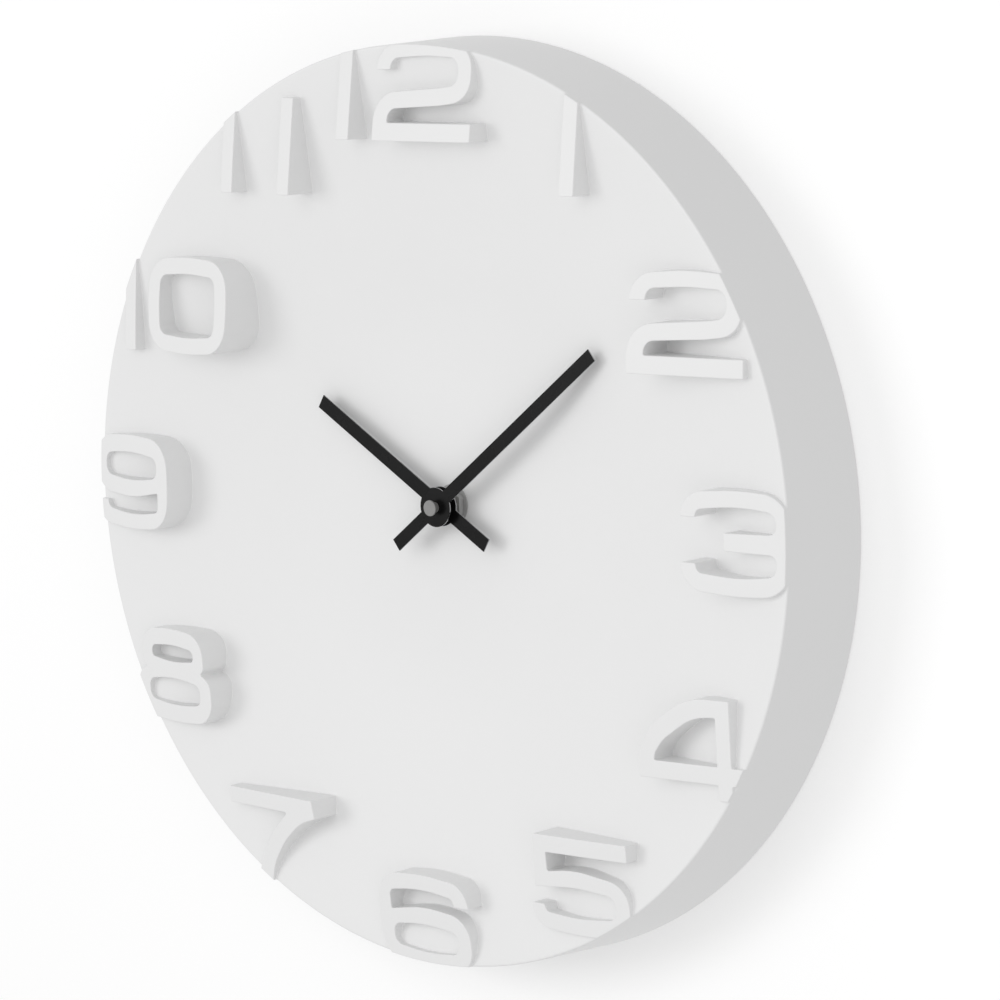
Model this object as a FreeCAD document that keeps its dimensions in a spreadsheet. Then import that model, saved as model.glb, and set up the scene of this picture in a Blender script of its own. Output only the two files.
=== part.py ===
import FreeCAD, Part
import math
import os

from FreeCAD import Placement, Rotation, Vector

# Analogue wall clock with a dished dial and raised numerals.
# Millimetres. +X is 3 o'clock, +Z is 12 o'clock and the dial faces -Y. The origin is
# on the hands' arbor, in the plane of the wall. "depth" is the distance out from the
# wall, so a point at depth d has y = -d.

doc = FreeCAD.newDocument("wall_clock")

# ---------------------------------------------------------------- driving sizes

SIZES = [
    # dial shell
    ("dial_radius", 200.0, "rim radius at the front edge"),
    ("back_flare", 2.0, "draft: how much larger the radius is at the wall"),
    ("rim_depth", 46.0, "wall to front edge of the rim"),
    ("dish_depth", 20.5, "how far the dial's centre lies behind the rim"),
    ("flat_radius", 50.0, "flat centre of the dial"),
    ("dish_bend", 300.0, "radius of the bend from the flat centre to the slope"),
    ("shell_wall", 2.5, "wall of the shell moulding"),
    ("rim_round", 1.2, "rounding of the rim's front edge"),
    ("shell_hole", 4.3, "radius of the dial's centre hole"),
    # numerals
    ("digit_tall", 42.3, "height of a flat-topped digit"),
    ("face_rise", 1.5, "numeral faces above the rim at the rim radius"),
    ("face_slope", 0.13, "rise of the numeral faces per millimetre inwards"),
    ("digit_wall", 2.0, "side wall of the hollow numerals"),
    # hands
    ("hand_thick", 0.6, "sheet thickness of both hands"),
    ("hub_radius", 8.65, "round hub of both hands"),
    ("hour_reach", 82.3, "arbor to tip of the hour hand"),
    ("hour_tail", 30.0, "arbor to tail of the hour hand"),
    ("hour_wide", 6.5, "width of the hour hand"),
    ("hour_angle", 300.5, "hour hand at rest, clockwise from 12"),
    ("hour_gap", 7.1, "dial centre to the back of the hour hand"),
    ("minute_reach", 115.0, "arbor to tip of the minute hand"),
    ("minute_tail", 30.0, "arbor to tail of the minute hand"),
    ("minute_wide", 6.0, "width of the minute hand"),
    ("minute_angle", 51.9, "minute hand at rest, clockwise from 12"),
    ("minute_gap", 3.3, "hour hand to minute hand"),
    # centre fixing
    ("bushing_radius", 4.0, "threaded bushing of the movement"),
    ("bushing_proud", 4.2, "bushing beyond the dial"),
    ("bushing_flange", 6.0, "radius of the bushing's flange"),
    ("flange_thick", 0.8, "thickness of the bushing's flange"),
    ("washer_radius", 8.9, "steel washer under the nut"),
    ("washer_thick", 0.5, "steel washer"),
    ("nut_across", 12.8, "hexagon nut across its flats"),
    ("nut_thick", 2.6, "hexagon nut"),
    ("rubber_radius", 9.5, "rubber washer behind the dial"),
    ("rubber_thick", 1.0, "rubber washer"),
    ("cap_radius", 3.45, "head of the cap nut"),
    ("cap_head", 0.9, "thickness of the cap nut's head"),
    ("cap_neck_radius", 2.3, "neck of the cap nut"),
    ("cap_neck", 2.8, "length of the cap nut's neck"),
    # shafts
    ("minute_shaft_radius", 1.55, "minute shaft in the hour pipe"),
    ("minute_end_radius", 1.25, "minute shaft in the hand and the cap nut"),
    ("hour_pipe_wall", 0.8, "wall of the hour pipe"),
    ("hour_end_wall", 0.55, "wall of the hour pipe inside the hand"),
    ("arbor_radius", 0.5, "steel arbors of the train"),
    ("fit", 0.06, "radial clearance of every shaft in its hole"),
    ("gap", 0.3, "clearance between parts that pass each other"),
    # movement case
    ("case_wide", 56.0, "case across"),
    ("case_tall", 56.0, "case from bottom to top"),
    ("case_deep", 15.6, "case from back to front"),
    ("case_wall", 1.4, "wall of the case"),
    ("case_below", 34.0, "arbor above the bottom of the case"),
    ("cover_thick", 1.2, "rear cover"),
    ("plate_thick", 1.0, "middle plate"),
    ("plate_depth", 7.1, "back of the case to the back of the middle plate"),
    ("locator_tall", 4.0, "ribs of the shell that hold the case square"),
    ("locator_thick", 2.0, "thickness of those ribs"),
    ("hanger_wide", 15.0, "hanger loop across"),
    ("hanger_tall", 16.0, "hanger loop above the case"),
    ("hanger_thick", 2.5, "thickness of the hanger loop"),
    ("hanger_hole", 3.2, "radius of the hole for the wall hook"),
    # battery, AA size
    ("cell_radius", 7.15, "battery"),
    ("cell_long", 49.2, "battery without its button"),
    ("button_radius", 2.7, "battery's button"),
    ("button_long", 1.0, "battery's button"),
    ("contact_thick", 0.4, "battery contact strip"),
    # gear modules
    ("rotor_module", 0.28, "rotor pinion and fifth wheel"),
    ("fifth_module", 0.425, "fifth pinion and seconds wheel"),
    ("third_module", 0.3, "seconds pinion and third wheel"),
    ("cannon_module", 0.4, "cannon pinion, motion wheel and setting gear"),
    ("backlash", 0.12, "play between meshing teeth, along the pitch circle"),
    ("wheel_thick", 0.7, "thickness of the train's wheels"),
    # electrics
    ("magnet_radius", 2.8, "rotor magnet"),
    ("air_gap", 0.55, "rotor magnet to stator"),
    ("stator_thick", 0.8, "stator plate"),
    ("bobbin_radius", 2.6, "flange of the coil bobbin"),
    ("board_thick", 0.9, "circuit board"),
    ("knob_radius", 6.0, "setting knob"),
    ("knob_thick", 4.0, "setting knob"),
]

sheet = doc.addObject("Spreadsheet::Sheet", "Sizes")
for row, (alias, number, note) in enumerate(SIZES, start=1):
    sheet.set(f"A{row}", alias)
    sheet.set(f"B{row}", str(number))
    sheet.setAlias(f"B{row}", alias)
    sheet.set(f"C{row}", note)
doc.recompute()


def value(expression):
    """The number that an expression over the sheet's cells gives."""
    return float(sheet.evalExpression(expression))


def size(alias):
    """The number in one cell of the sheet."""
    return float(getattr(sheet, alias))


# ---------------------------------------------------------------- levels, as depths

DIAL = "(Sizes.rim_depth - Sizes.dish_depth)"
DIAL_BACK = f"({DIAL} - Sizes.shell_wall)"
CASE_FRONT = f"({DIAL_BACK} - Sizes.rubber_thick)"
CASE_BACK = f"({CASE_FRONT} - Sizes.case_deep)"
CASE_INSIDE = f"({CASE_FRONT} - Sizes.case_wall)"
COVER_INSIDE = f"({CASE_BACK} + Sizes.cover_thick)"
PLATE_BACK = f"({CASE_BACK} + Sizes.plate_depth)"
PLATE_FRONT = f"({PLATE_BACK} + Sizes.plate_thick)"
FLANGE_BACK = f"({CASE_INSIDE} - Sizes.flange_thick)"
NUT_BACK = f"({DIAL} + Sizes.washer_thick)"
BUSHING_END = f"({DIAL} + Sizes.bushing_proud)"
HOUR_HAND = f"({DIAL} + Sizes.hour_gap)"
MINUTE_HAND = f"({HOUR_HAND} + Sizes.hand_thick + Sizes.minute_gap)"
CAP_BACK = f"({MINUTE_HAND} + Sizes.hand_thick)"
HOUR_BORE = "(Sizes.minute_shaft_radius + Sizes.fit)"
HOUR_PIPE = f"({HOUR_BORE} + Sizes.hour_pipe_wall)"
HOUR_END = f"({HOUR_BORE} + Sizes.hour_end_wall)"

# The train's levels, counted out from the inside of the cover.
PIVOT = "0.5 * Sizes.cover_thick"
ARBOR_BACK = f"({COVER_INSIDE} - {PIVOT})"
SECONDS_WHEEL = f"({COVER_INSIDE} + Sizes.gap + 0.5)"
SECONDS_PINION = f"({SECONDS_WHEEL} + Sizes.wheel_thick)"
THIRD_WHEEL = f"({SECONDS_PINION} + 0.4)"
THIRD_PINION = f"({THIRD_WHEEL} + Sizes.wheel_thick)"
FIFTH_WHEEL = f"({THIRD_PINION} + Sizes.gap + 0.3)"
CENTRE_WHEEL = f"({FIFTH_WHEEL} + Sizes.wheel_thick + Sizes.gap)"
CANNON = f"({PLATE_FRONT} + Sizes.gap + 1.3)"
CANNON_LONG = "2.0"
HOUR_WHEEL = f"({CANNON} + {CANNON_LONG} + Sizes.gap)"
OVERRUN = 0.2  # how far a pinion reaches past the wheel that it turns with
SHOULDER = 0.4  # how far a shaft's end stands past the hand that sits on it
MOTION_THICK = 1.2  # motion wheel and setting gear

# ---------------------------------------------------------------- helpers

FACING = Rotation(Vector(1, 0, 0), 90)


def put(item, across, up, depth):
    """Stands an object on (across, up, depth), with its own Z pointing at the viewer."""
    item.Placement = Placement(Vector(), FACING)
    item.setExpression("Placement.Base.x", str(across))
    item.setExpression("Placement.Base.y", f"-({depth})")
    item.setExpression("Placement.Base.z", str(up))
    return item


def rod(name, radius, depth, end, across="0", up="0"):
    """A cylinder along the clock's axis, from one depth to another."""
    item = doc.addObject("Part::Cylinder", name)
    item.setExpression("Radius", str(radius))
    item.setExpression("Height", f"({end}) - ({depth})")
    return put(item, across, up, depth)


def block(name, left, right, low, high, depth, end):
    """A box from its left to its right, low to high and back to front faces."""
    item = doc.addObject("Part::Box", name)
    item.setExpression("Length", f"({right}) - ({left})")
    item.setExpression("Width", f"({high}) - ({low})")
    item.setExpression("Height", f"({end}) - ({depth})")
    return put(item, left, low, depth)


def join(name, pieces):
    item = doc.addObject("Part::MultiFuse", name)
    item.Shapes = pieces
    item.Refine = True
    return item


def cut(name, base, tool):
    item = doc.addObject("Part::Cut", name)
    item.Base = base
    item.Tool = tool
    return item


def overlap(name, base, tool):
    item = doc.addObject("Part::Common", name)
    item.Base = base
    item.Tool = tool
    return item


def feature(name, shape):
    item = doc.addObject("Part::Feature", name)
    item.Shape = shape
    return item


def turned(name, outline):
    """A solid of revolution about the clock's axis, from (radius, depth) edges."""
    face = feature(name + "_profile", Part.Face(Part.Wire(outline)))
    item = doc.addObject("Part::Revolution", name)
    item.Source = face
    item.Axis = Vector(0, 1, 0)
    item.Angle = 360
    item.Solid = True
    return item


def at(radius, depth):
    return Vector(radius, -depth, 0)


def polyline(points):
    """Edges that join the points in turn."""
    return [Part.makeLine(a, b) for a, b in zip(points, points[1:])]


# ---------------------------------------------------------------- numeral outlines

# Each outline is a ring of corners (across, up, corner radius), drawn for digits that
# are DRAWN_TALL high and stand on up = 0. Corners with a large radius are the gentle
# bulges of the bowls. The first ring is the outside, the others are counters.
DRAWN_TALL = 42.3
SIX_WIDE = 53.6

SIX = [
    [(53.8, 30.6, 0.4), (51.4, 41.0, 10), (28, 43.2, 90), (1.4, 41.2, 14), (-0.1, 21, 90),
     (1.0, 0.9, 14), (27, -0.8, 120), (53.2, 0.9, 12), (53.2, 25.9, 12), (27, 28.5, 60),
     (7.6, 25.0, 0.8), (7.8, 33.9, 3), (27, 36.6, 80), (44.4, 34.2, 3), (45.6, 30.6, 0.4)],
    [(8.0, 18.3, 4.4), (27, 20.7, 80), (45.8, 18.5, 4.4), (45.8, 8.8, 4.4), (27, 7.0, 90),
     (8.0, 9.2, 4.4)],
]

DIGITS = {
    "0": [
        [(28, 43.1, 120), (55.0, 41.4, 14), (56.1, 21.15, 90), (55.0, 0.9, 14),
         (28, -0.8, 120), (1.0, 0.9, 14), (-0.1, 21.15, 90), (1.0, 41.4, 14)],
        [(28, 35.6, 100), (47.2, 34.3, 5), (48.1, 21.15, 80), (47.2, 8.0, 5),
         (28, 6.6, 100), (8.8, 8.0, 5), (7.9, 21.15, 80), (8.8, 34.3, 5)],
    ],
    "1": [[(0, 0, 0), (7.5, 0, 0), (7.5, 42.3, 0), (0, 42.3, 0)]],
    "2": [[
        (0, 0, 0), (56, 0, 0), (56, 7.8, 0), (8.3, 7.8, 0.8), (8.3, 13.6, 5),
        (38, 15.2, 60), (54.8, 17.4, 11), (54.8, 41.2, 12), (28, 43.1, 120),
        (1.6, 41.0, 12), (0.4, 30.2, 0.4), (8.3, 30.2, 0.4), (9.4, 35.1, 4.5),
        (28, 36.2, 100), (47.4, 35.3, 5.5), (47.4, 23.9, 5), (38, 22.8, 60), (0, 20.2, 13),
    ]],
    "3": [[
        (0, 31.0, 0.4), (7.0, 31.0, 0.4), (7.8, 34.3, 3), (27, 36.5, 90), (45.0, 34.4, 5),
        (45.0, 25.8, 3.5), (20.5, 25.3, 0.4), (20.5, 17.9, 0.4), (45.0, 17.4, 3.5),
        (45.2, 8.8, 5), (27, 6.7, 90), (7.8, 8.4, 3), (7.0, 12.2, 0.4), (0, 12.2, 0.4),
        (0.8, 1.2, 11), (27, -0.8, 120), (51.4, 0.9, 14), (52.0, 21, 60), (51.4, 41.4, 14),
        (27, 43.1, 120), (0.8, 41.2, 11),
    ]],
    "4": [
        [(0, 6.7, 0), (38.2, 6.7, 0), (38.2, 0, 0), (45.1, 0, 0), (45.1, 6.7, 0),
         (56, 6.7, 0), (56, 14.3, 0), (45.1, 14.3, 0), (45.1, 42.3, 0.8), (24.5, 42.3, 30),
         (6.5, 29.2, 24), (0, 16.5, 9)],
        [(7.4, 14.4, 0.8), (8.3, 17.8, 5), (12.4, 23.4, 18), (27, 34.0, 24),
         (38.2, 34.9, 0.8), (38.2, 14.4, 0.3)],
    ],
    "5": [[
        (3.6, 42.3, 0), (2.4, 18.9, 0.4), (24, 20.6, 80), (44.5, 18.8, 5), (44.5, 8.6, 4.6),
        (24, 6.7, 90), (7.6, 8.2, 2.4), (6.6, 11.4, 0.4), (0, 11.4, 0.4), (1.0, 1.1, 9.5),
        (26, -0.8, 120), (51.9, 0.9, 12), (51.9, 24.4, 11.4),
        (24, 28.4, 50), (9.8, 26.3, 1.0), (9.9, 34.7, 0.4), (52.3, 34.7, 0), (52.3, 42.3, 0),
    ]],
    "6": SIX,
    "7": [[
        (0, 42.3, 0), (0, 34.8, 0), (38.4, 34.8, 0.4), (25.4, 22.6, 60), (17.2, 9.5, 50),
        (14.4, 0, 0), (23.7, 0, 0), (25.8, 8.8, 30), (34.5, 20.6, 40), (46.0, 30.6, 30),
        (56.4, 34.0, 0.8), (55.3, 42.3, 0),
    ]],
    "8": [
        [(26.4, 43.3, 90), (48.6, 41.4, 11), (48.6, 25.9, 4), (45.8, 23.7, 0.6),
         (52.6, 20.4, 7), (52.6, 0.9, 12), (26.4, -0.8, 120), (0.2, 0.9, 12),
         (0.2, 20.4, 7), (7.0, 23.7, 0.6), (4.2, 25.9, 4), (4.2, 41.4, 11)],
        [(26.4, 35.7, 70), (41.4, 34.1, 3), (41.4, 29.0, 2.2), (26.4, 27.4, 70),
         (11.4, 29.0, 2.2), (11.4, 34.1, 3)],
        [(26.4, 20.6, 80), (44.7, 18.1, 4.2), (44.7, 9.0, 4.2), (26.4, 6.9, 90),
         (8.1, 9.0, 4.2), (8.1, 18.1, 4.2)],
    ],
    "9": [[(SIX_WIDE - x, DRAWN_TALL - z, r) for x, z, r in ring] for ring in SIX],
}

# Where each digit stands on a dial of LAYOUT_RADIUS: its hour, its left edge and its
# foot, from the arbor. On another dial it moves along its hour's line with the rim.
LAYOUT_RADIUS = 200.0
LAYOUT = [
    (12, "1", -39.8, 158.9), (12, "2", -18.0, 158.9),
    (1, "1", 87.0, 137.8),
    (2, "2", 124.0, 66.7),
    (3, "3", 150.5, -21.2),
    (4, "4", 126.0, -107.7),
    (5, "5", 63.5, -174.6),
    (6, "6", -27.1, -202.7),
    (7, "7", -119.0, -177.1),
    (8, "8", -179.0, -108.9),
    (9, "9", -203.2, -21.2),
    (10, "1", -179.4, 60.8), (10, "0", -162.5, 61.6),
    (11, "1", -112.9, 134.2), (11, "1", -75.4, 134.2),
]


def turn_of(corners):
    """1 for a ring that runs anticlockwise as (x, z), -1 for a clockwise one."""
    area = 0
    for (x1, z1, _), (x2, z2, _) in zip(corners, corners[1:] + corners[:1]):
        area += x1 * z2 - x2 * z1
    return 1 if area > 0 else -1


def inset_ring(corners, distance):
    """The same ring with its sides moved inwards, and each rounding kept parallel."""
    turn = turn_of(corners)
    count = len(corners)
    moved = []
    for i in range(count):
        x, z, radius = corners[i]
        back_x, back_z, _ = corners[i - 1]
        next_x, next_z, _ = corners[(i + 1) % count]
        first = Vector(x - back_x, 0, z - back_z).normalize()
        second = Vector(next_x - x, 0, next_z - z).normalize()
        bend = turn * (first.x * second.z - first.z * second.x)
        inwards = Vector(-first.z - second.z, 0, first.x + second.x) * turn
        reach = distance / (1 + first.dot(second))
        rounding = radius - distance if bend > 0 else radius + distance
        moved.append((x + reach * inwards.x, z + reach * inwards.z, max(rounding, 0)))
    return moved


def rounded_ring(corners):
    """A closed wire in the wall's plane through (x, z) corners, each with its radius."""
    count = len(corners)
    points = [Vector(x, 0, z) for x, z, _ in corners]
    edges = []
    ends = []
    for i in range(count):
        here = points[i]
        before = (points[i - 1] - here).normalize()
        after = (points[(i + 1) % count] - here).normalize()
        radius = corners[i][2]
        half = 0.5 * before.getAngle(after)
        start = here + before * (radius / math.tan(half))
        end = here + after * (radius / math.tan(half))
        if ends and (start - ends[-1]).Length > 1e-6:
            edges.append(Part.makeLine(ends[-1], start))
        if radius > 0:
            bisector = (before + after).normalize()
            middle = here + bisector * (radius / math.sin(half) - radius)
            edges.append(Part.Arc(start, middle, end).toShape())
        ends += [start, end]
    if (ends[0] - ends[-1]).Length > 1e-6:
        edges.append(Part.makeLine(ends[-1], ends[0]))
    return Part.Wire(edges)


def digit_face(hour, digit, left, foot, inset=0.0):
    """One digit as a flat face in the wall's plane, or its outline set in by a wall."""
    scale = size("digit_tall") / DRAWN_TALL
    outwards = size("dial_radius") - LAYOUT_RADIUS
    left += outwards * math.sin(math.radians(30 * hour))
    foot += outwards * math.cos(math.radians(30 * hour))
    faces = []
    for ring in DIGITS[digit]:
        placed = [(left + x * scale, foot + z * scale, r * scale) for x, z, r in ring]
        distance = -inset if faces else inset
        faces.append(Part.Face(rounded_ring(inset_ring(placed, distance))))
    face = faces[0]
    for counter in faces[1:]:
        face = face.cut(counter)
    return face.Faces[0]


# ---------------------------------------------------------------- dial shell


def side_radius(depth, inset=0.0):
    """Radius of the shell's side wall at a depth."""
    return size("dial_radius") + size("back_flare") * (1 - depth / size("rim_depth")) - inset


def dish_slope():
    """Angle of the dial's straight slope, which touches the bend and ends at the rim."""
    run = size("dial_radius") - size("flat_radius")
    rise = size("dish_bend") - size("dish_depth")
    return math.asin(size("dish_bend") / math.hypot(run, rise)) - math.atan2(rise, run)


def bend_end(inset=0.0):
    """Radius where the dial's bend runs out into its slope."""
    return size("flat_radius") + (size("dish_bend") + inset) * math.sin(dish_slope())


def dish(radius, inset=0.0):
    """Depth of the dial, or of the surface that lies inset behind it.

    The dial is flat in its centre, then bends, and slopes straight up to the rim.
    """
    past = radius - size("flat_radius")
    bend = size("dish_bend")
    if past <= 0:
        return value(DIAL) - inset
    if radius <= bend_end(inset):
        return value(DIAL) + bend - math.sqrt((bend + inset) ** 2 - past ** 2)
    slope = dish_slope()
    fall = (size("dial_radius") - radius) * math.tan(slope)
    return size("rim_depth") - fall - inset / math.cos(slope)


def dish_edges(end, inset=0.0):
    """The dial's profile from its centre to a radius."""
    start = size("flat_radius")
    stop = bend_end(inset)
    radii = (start, 0.5 * (start + stop), stop)
    points = [at(radius, dish(radius, inset)) for radius in radii]
    flat = Part.LineSegment(at(0, dish(0, inset)), points[0]).toShape()
    slope = Part.LineSegment(points[2], at(end, dish(end, inset))).toShape()
    return [flat, Part.Arc(*points).toShape(), slope]


def face_cone(radius, inset=0.0):
    """Depth of the cone that the numeral faces lie on."""
    rise = size("face_rise") + size("face_slope") * (size("dial_radius") - radius)
    return size("rim_depth") + rise - inset


def meeting(surface, inset):
    """Where a surface of revolution meets the side wall, both set back by inset."""
    depth = size("rim_depth")
    for _ in range(20):
        depth = surface(side_radius(depth, inset), inset)
    return side_radius(depth, inset), depth


def billet(name, inset):
    """Everything between the wall's plane, the side wall and the numeral faces."""
    top = meeting(face_cone, inset)
    corners = [at(0, 0), at(side_radius(0, inset), 0), at(*top), at(0, face_cone(0, inset))]
    return turned(name, polyline(corners + corners[:1]))


def space_over_dial():
    """The air in front of the dial, bounded by the dish and the rounded rim."""
    rim = size("dial_radius")
    depth = size("rim_depth")
    soft = size("rim_round")
    start = at(rim - soft, dish(rim - soft))
    bend = at(rim - 0.3 * soft, depth - 0.3 * soft)
    end = at(side_radius(depth - soft), depth - soft)
    outside = 1.2 * rim
    above = face_cone(0) + soft
    edges = dish_edges(rim - soft) + [Part.Arc(start, bend, end).toShape()]
    edges += polyline([end, at(outside, depth - soft), at(outside, above), at(0, above),
                       at(0, dish(0))])
    return turned("space_over_dial", edges)


def hollow_behind_dial():
    """The open back of the shell."""
    inset = size("shell_wall")
    corner = meeting(dish, inset)
    edges = dish_edges(corner[0], inset)
    edges += polyline([at(*corner), at(side_radius(0, inset), 0), at(0, 0), at(0, dish(0, inset))])
    return turned("hollow_behind_dial", edges)


def extruded(name, faces):
    """Prisms along the clock's axis, from the wall's plane to past the numeral faces."""
    item = doc.addObject("Part::Extrusion", name)
    item.Base = feature(name + "_outline", Part.makeCompound(faces))
    item.DirMode = "Custom"
    item.Dir = Vector(0, -1, 0)
    item.setExpression("LengthFwd", "2 * Sizes.rim_depth")
    item.Solid = True
    return item


def make_dial_shell():
    digits = [digit_face(*place) for place in LAYOUT]
    pockets = [digit_face(*place, size("digit_wall")) for place in LAYOUT]
    air = cut("air_round_numerals", space_over_dial(), extruded("numerals", digits))
    outside = cut("shell_outside", billet("billet", 0), air)
    core = overlap("numeral_core", extruded("numeral_pockets", pockets),
                   billet("core_limit", size("digit_wall")))
    hollow = join("shell_hollow", [hollow_behind_dial(), core])
    moulding = cut("shell_moulding", outside, hollow)
    case_low = "-Sizes.case_below - Sizes.gap"
    case_high = "Sizes.case_tall - Sizes.case_below + Sizes.gap"
    case_side = "(0.5 * Sizes.case_wide + Sizes.gap)"
    rib_back = f"{DIAL_BACK} - Sizes.locator_tall"
    rib_front = f"{DIAL} - 0.5 * Sizes.shell_wall"
    thick = "Sizes.locator_thick"
    frame = block("locator_outside", f"-{case_side} - {thick}", f"{case_side} + {thick}",
                  f"{case_low} - {thick}", f"{case_high} + {thick}", rib_back, rib_front)
    room = block("locator_inside", f"-{case_side}", case_side, case_low, case_high,
                 f"{rib_back} - 1", f"{rib_front} + 1")
    ribbed = join("shell_ribbed", [moulding, cut("locator_ribs", frame, room)])
    hole = rod("shell_centre_hole", "Sizes.shell_hole", f"{DIAL_BACK} - 1", f"{DIAL} + 1")
    return cut("dial_shell", ribbed, hole)


# ---------------------------------------------------------------- centre fixing


def ring(name, radius, bore, depth, end, across="0", up="0"):
    """A washer or tube along the clock's axis."""
    outside = rod(name + "_outside", radius, depth, end, across, up)
    inside = rod(name + "_bore", bore, f"({depth}) - 1", f"({end}) + 1", across, up)
    return cut(name, outside, inside)


def make_bushing():
    body = rod("bushing_body", "Sizes.bushing_radius", FLANGE_BACK, BUSHING_END)
    flange = rod("bushing_flange_disc", "Sizes.bushing_flange", FLANGE_BACK, CASE_INSIDE)
    bore = rod("bushing_bore", f"{HOUR_PIPE} + Sizes.fit", f"{FLANGE_BACK} - 1",
               f"{BUSHING_END} + 1")
    return cut("threaded_bushing", join("bushing_solid", [body, flange]), bore)


def make_bushing_nut():
    hexagon = doc.addObject("Part::Prism", "nut_hexagon")
    hexagon.Polygon = 6
    hexagon.setExpression("Circumradius", "Sizes.nut_across / sqrt(3)")
    hexagon.setExpression("Height", "Sizes.nut_thick")
    put(hexagon, "0", "0", NUT_BACK)
    hexagon.Placement.Rotation = FACING * Rotation(Vector(0, 0, 1), 30)
    bore = rod("nut_bore", "Sizes.bushing_radius + 0.5 * Sizes.fit", f"{NUT_BACK} - 1",
               f"{NUT_BACK} + Sizes.nut_thick + 1")
    return cut("bushing_nut", hexagon, bore)


def make_cap_nut():
    head_back = f"({CAP_BACK} + Sizes.cap_neck)"
    head_front = f"({head_back} + Sizes.cap_head)"
    neck = rod("cap_neck_rod", "Sizes.cap_neck_radius", CAP_BACK, head_back)
    head = rod("cap_head_disc", "Sizes.cap_radius", head_back, head_front)
    solid = join("cap_solid", [neck, head])
    bore = rod("cap_bore", "Sizes.minute_end_radius + 0.5 * Sizes.fit", f"{CAP_BACK} - 1",
               head_back)
    return cut("hand_cap_nut", solid, bore)


# ---------------------------------------------------------------- hands


def make_hand(name, reach, tail, wide, bore, depth, angle):
    """A flat bar with a round hub, made pointing at 12 and then turned to its angle."""
    end = f"{depth} + Sizes.hand_thick"
    bar = block(name + "_bar", f"-0.5 * {wide}", f"0.5 * {wide}", f"-{tail}", reach, depth, end)
    hub = rod(name + "_hub", "Sizes.hub_radius", depth, end)
    hole = rod(name + "_bore", bore, f"{depth} - 1", f"{end} + 1")
    hand = cut(name, join(name + "_blank", [bar, hub]), hole)
    hand.Placement = Placement(Vector(), Rotation(Vector(0, 1, 0), 1))
    hand.setExpression("Placement.Rotation.Angle", angle)
    return hand


# ---------------------------------------------------------------- gears

TEETH = {
    "rotor_pinion": 8, "fifth_wheel": 48,
    "fifth_pinion": 8, "seconds_wheel": 40,
    "seconds_pinion": 8, "third_wheel": 60,
    "third_pinion": 8, "centre_wheel": 64,
    "cannon_pinion": 12, "motion_wheel": 36,
    "motion_pinion": 10, "hour_wheel": 40,
    "setting_gear": 14,
}
PRESSURE_ANGLE = math.radians(20)
ADDENDUM = 0.8
DEDENDUM = 1.15


def involute(angle):
    return math.tan(angle) - angle


def gear_face(teeth, module, phase):
    """A spur gear's outline in the wall's plane, with one tooth's centre at phase."""
    pitch = 0.5 * teeth * module
    base = pitch * math.cos(PRESSURE_ANGLE)
    root = pitch - DEDENDUM * module
    tip = pitch + ADDENDUM * module
    half_pitch = (0.25 * 2 * math.pi * pitch / teeth - 0.5 * size("backlash")) / pitch

    def half_tooth(radius):
        lean = math.acos(min(1.0, base / radius))
        return half_pitch + involute(PRESSURE_ANGLE) - involute(lean)

    radii = [root, max(base, root) + 0.02 * module, pitch, 0.5 * (pitch + tip), tip]
    flank = [(radius, half_tooth(max(radius, base))) for radius in radii]
    corners = []
    for tooth in range(teeth):
        middle = phase + 2 * math.pi * tooth / teeth
        for radius, half in flank:
            corners.append((radius, middle - half))
        for radius, half in reversed(flank):
            corners.append((radius, middle + half))
    points = [Vector(r * math.cos(a), 0, r * math.sin(a)) for r, a in corners]
    return Part.Face(Part.makePolygon(points + points[:1]))


def raised(face, depth, end):
    """A flat face in the wall's plane, as a solid between two depths."""
    solid = face.extrude(Vector(0, depth - end, 0))
    solid.translate(Vector(0, -depth, 0))
    return solid


def disc(radius, depth, end):
    return Part.makeCylinder(radius, end - depth, Vector(0, -depth, 0), Vector(0, -1, 0))


def arbor(name, place, discs, gears, bores=()):
    """A wheel on its arbor: discs, gears and bores about one axis, set on its place."""
    solid = None
    for radius, depth, end in discs:
        piece = disc(radius, depth, end)
        solid = piece if solid is None else solid.fuse(piece)
    for teeth, module, phase, depth, end in gears:
        solid = solid.fuse(raised(gear_face(teeth, module, phase), depth, end))
    for radius, depth, end in bores:
        solid = solid.cut(disc(radius, depth, end))
    item = feature(name, solid.removeSplitter())
    item.Placement = Placement(Vector(place[0], 0, place[1]), Rotation())
    return item


def beside(place, distance, degrees):
    """A point at a distance from another, in a direction counted up from +X."""
    angle = math.radians(degrees)
    return (place[0] + distance * math.cos(angle), place[1] + distance * math.sin(angle))


def meshing_phase(driver_phase, driver_teeth, driven_teeth, degrees):
    """Phase that puts a gap of the driven gear on a tooth of the driver."""
    towards = math.radians(degrees)
    lead = (driver_phase - towards) * driver_teeth / driven_teeth
    return towards + math.pi - lead + math.pi / driven_teeth


def spacing(driver, driven, module):
    return 0.5 * module * (TEETH[driver] + TEETH[driven])


# Directions from each arbor to the next one.
THIRD_WAY = 90.0
FIFTH_WAY = 200.0
ROTOR_WAY = 180.0
MOTION_WAY = -60.0
SETTING_WAY = 0.0

ROTOR_MODULE = size("rotor_module")
FIFTH_MODULE = size("fifth_module")
THIRD_MODULE = size("third_module")
CANNON_MODULE = size("cannon_module")

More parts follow.
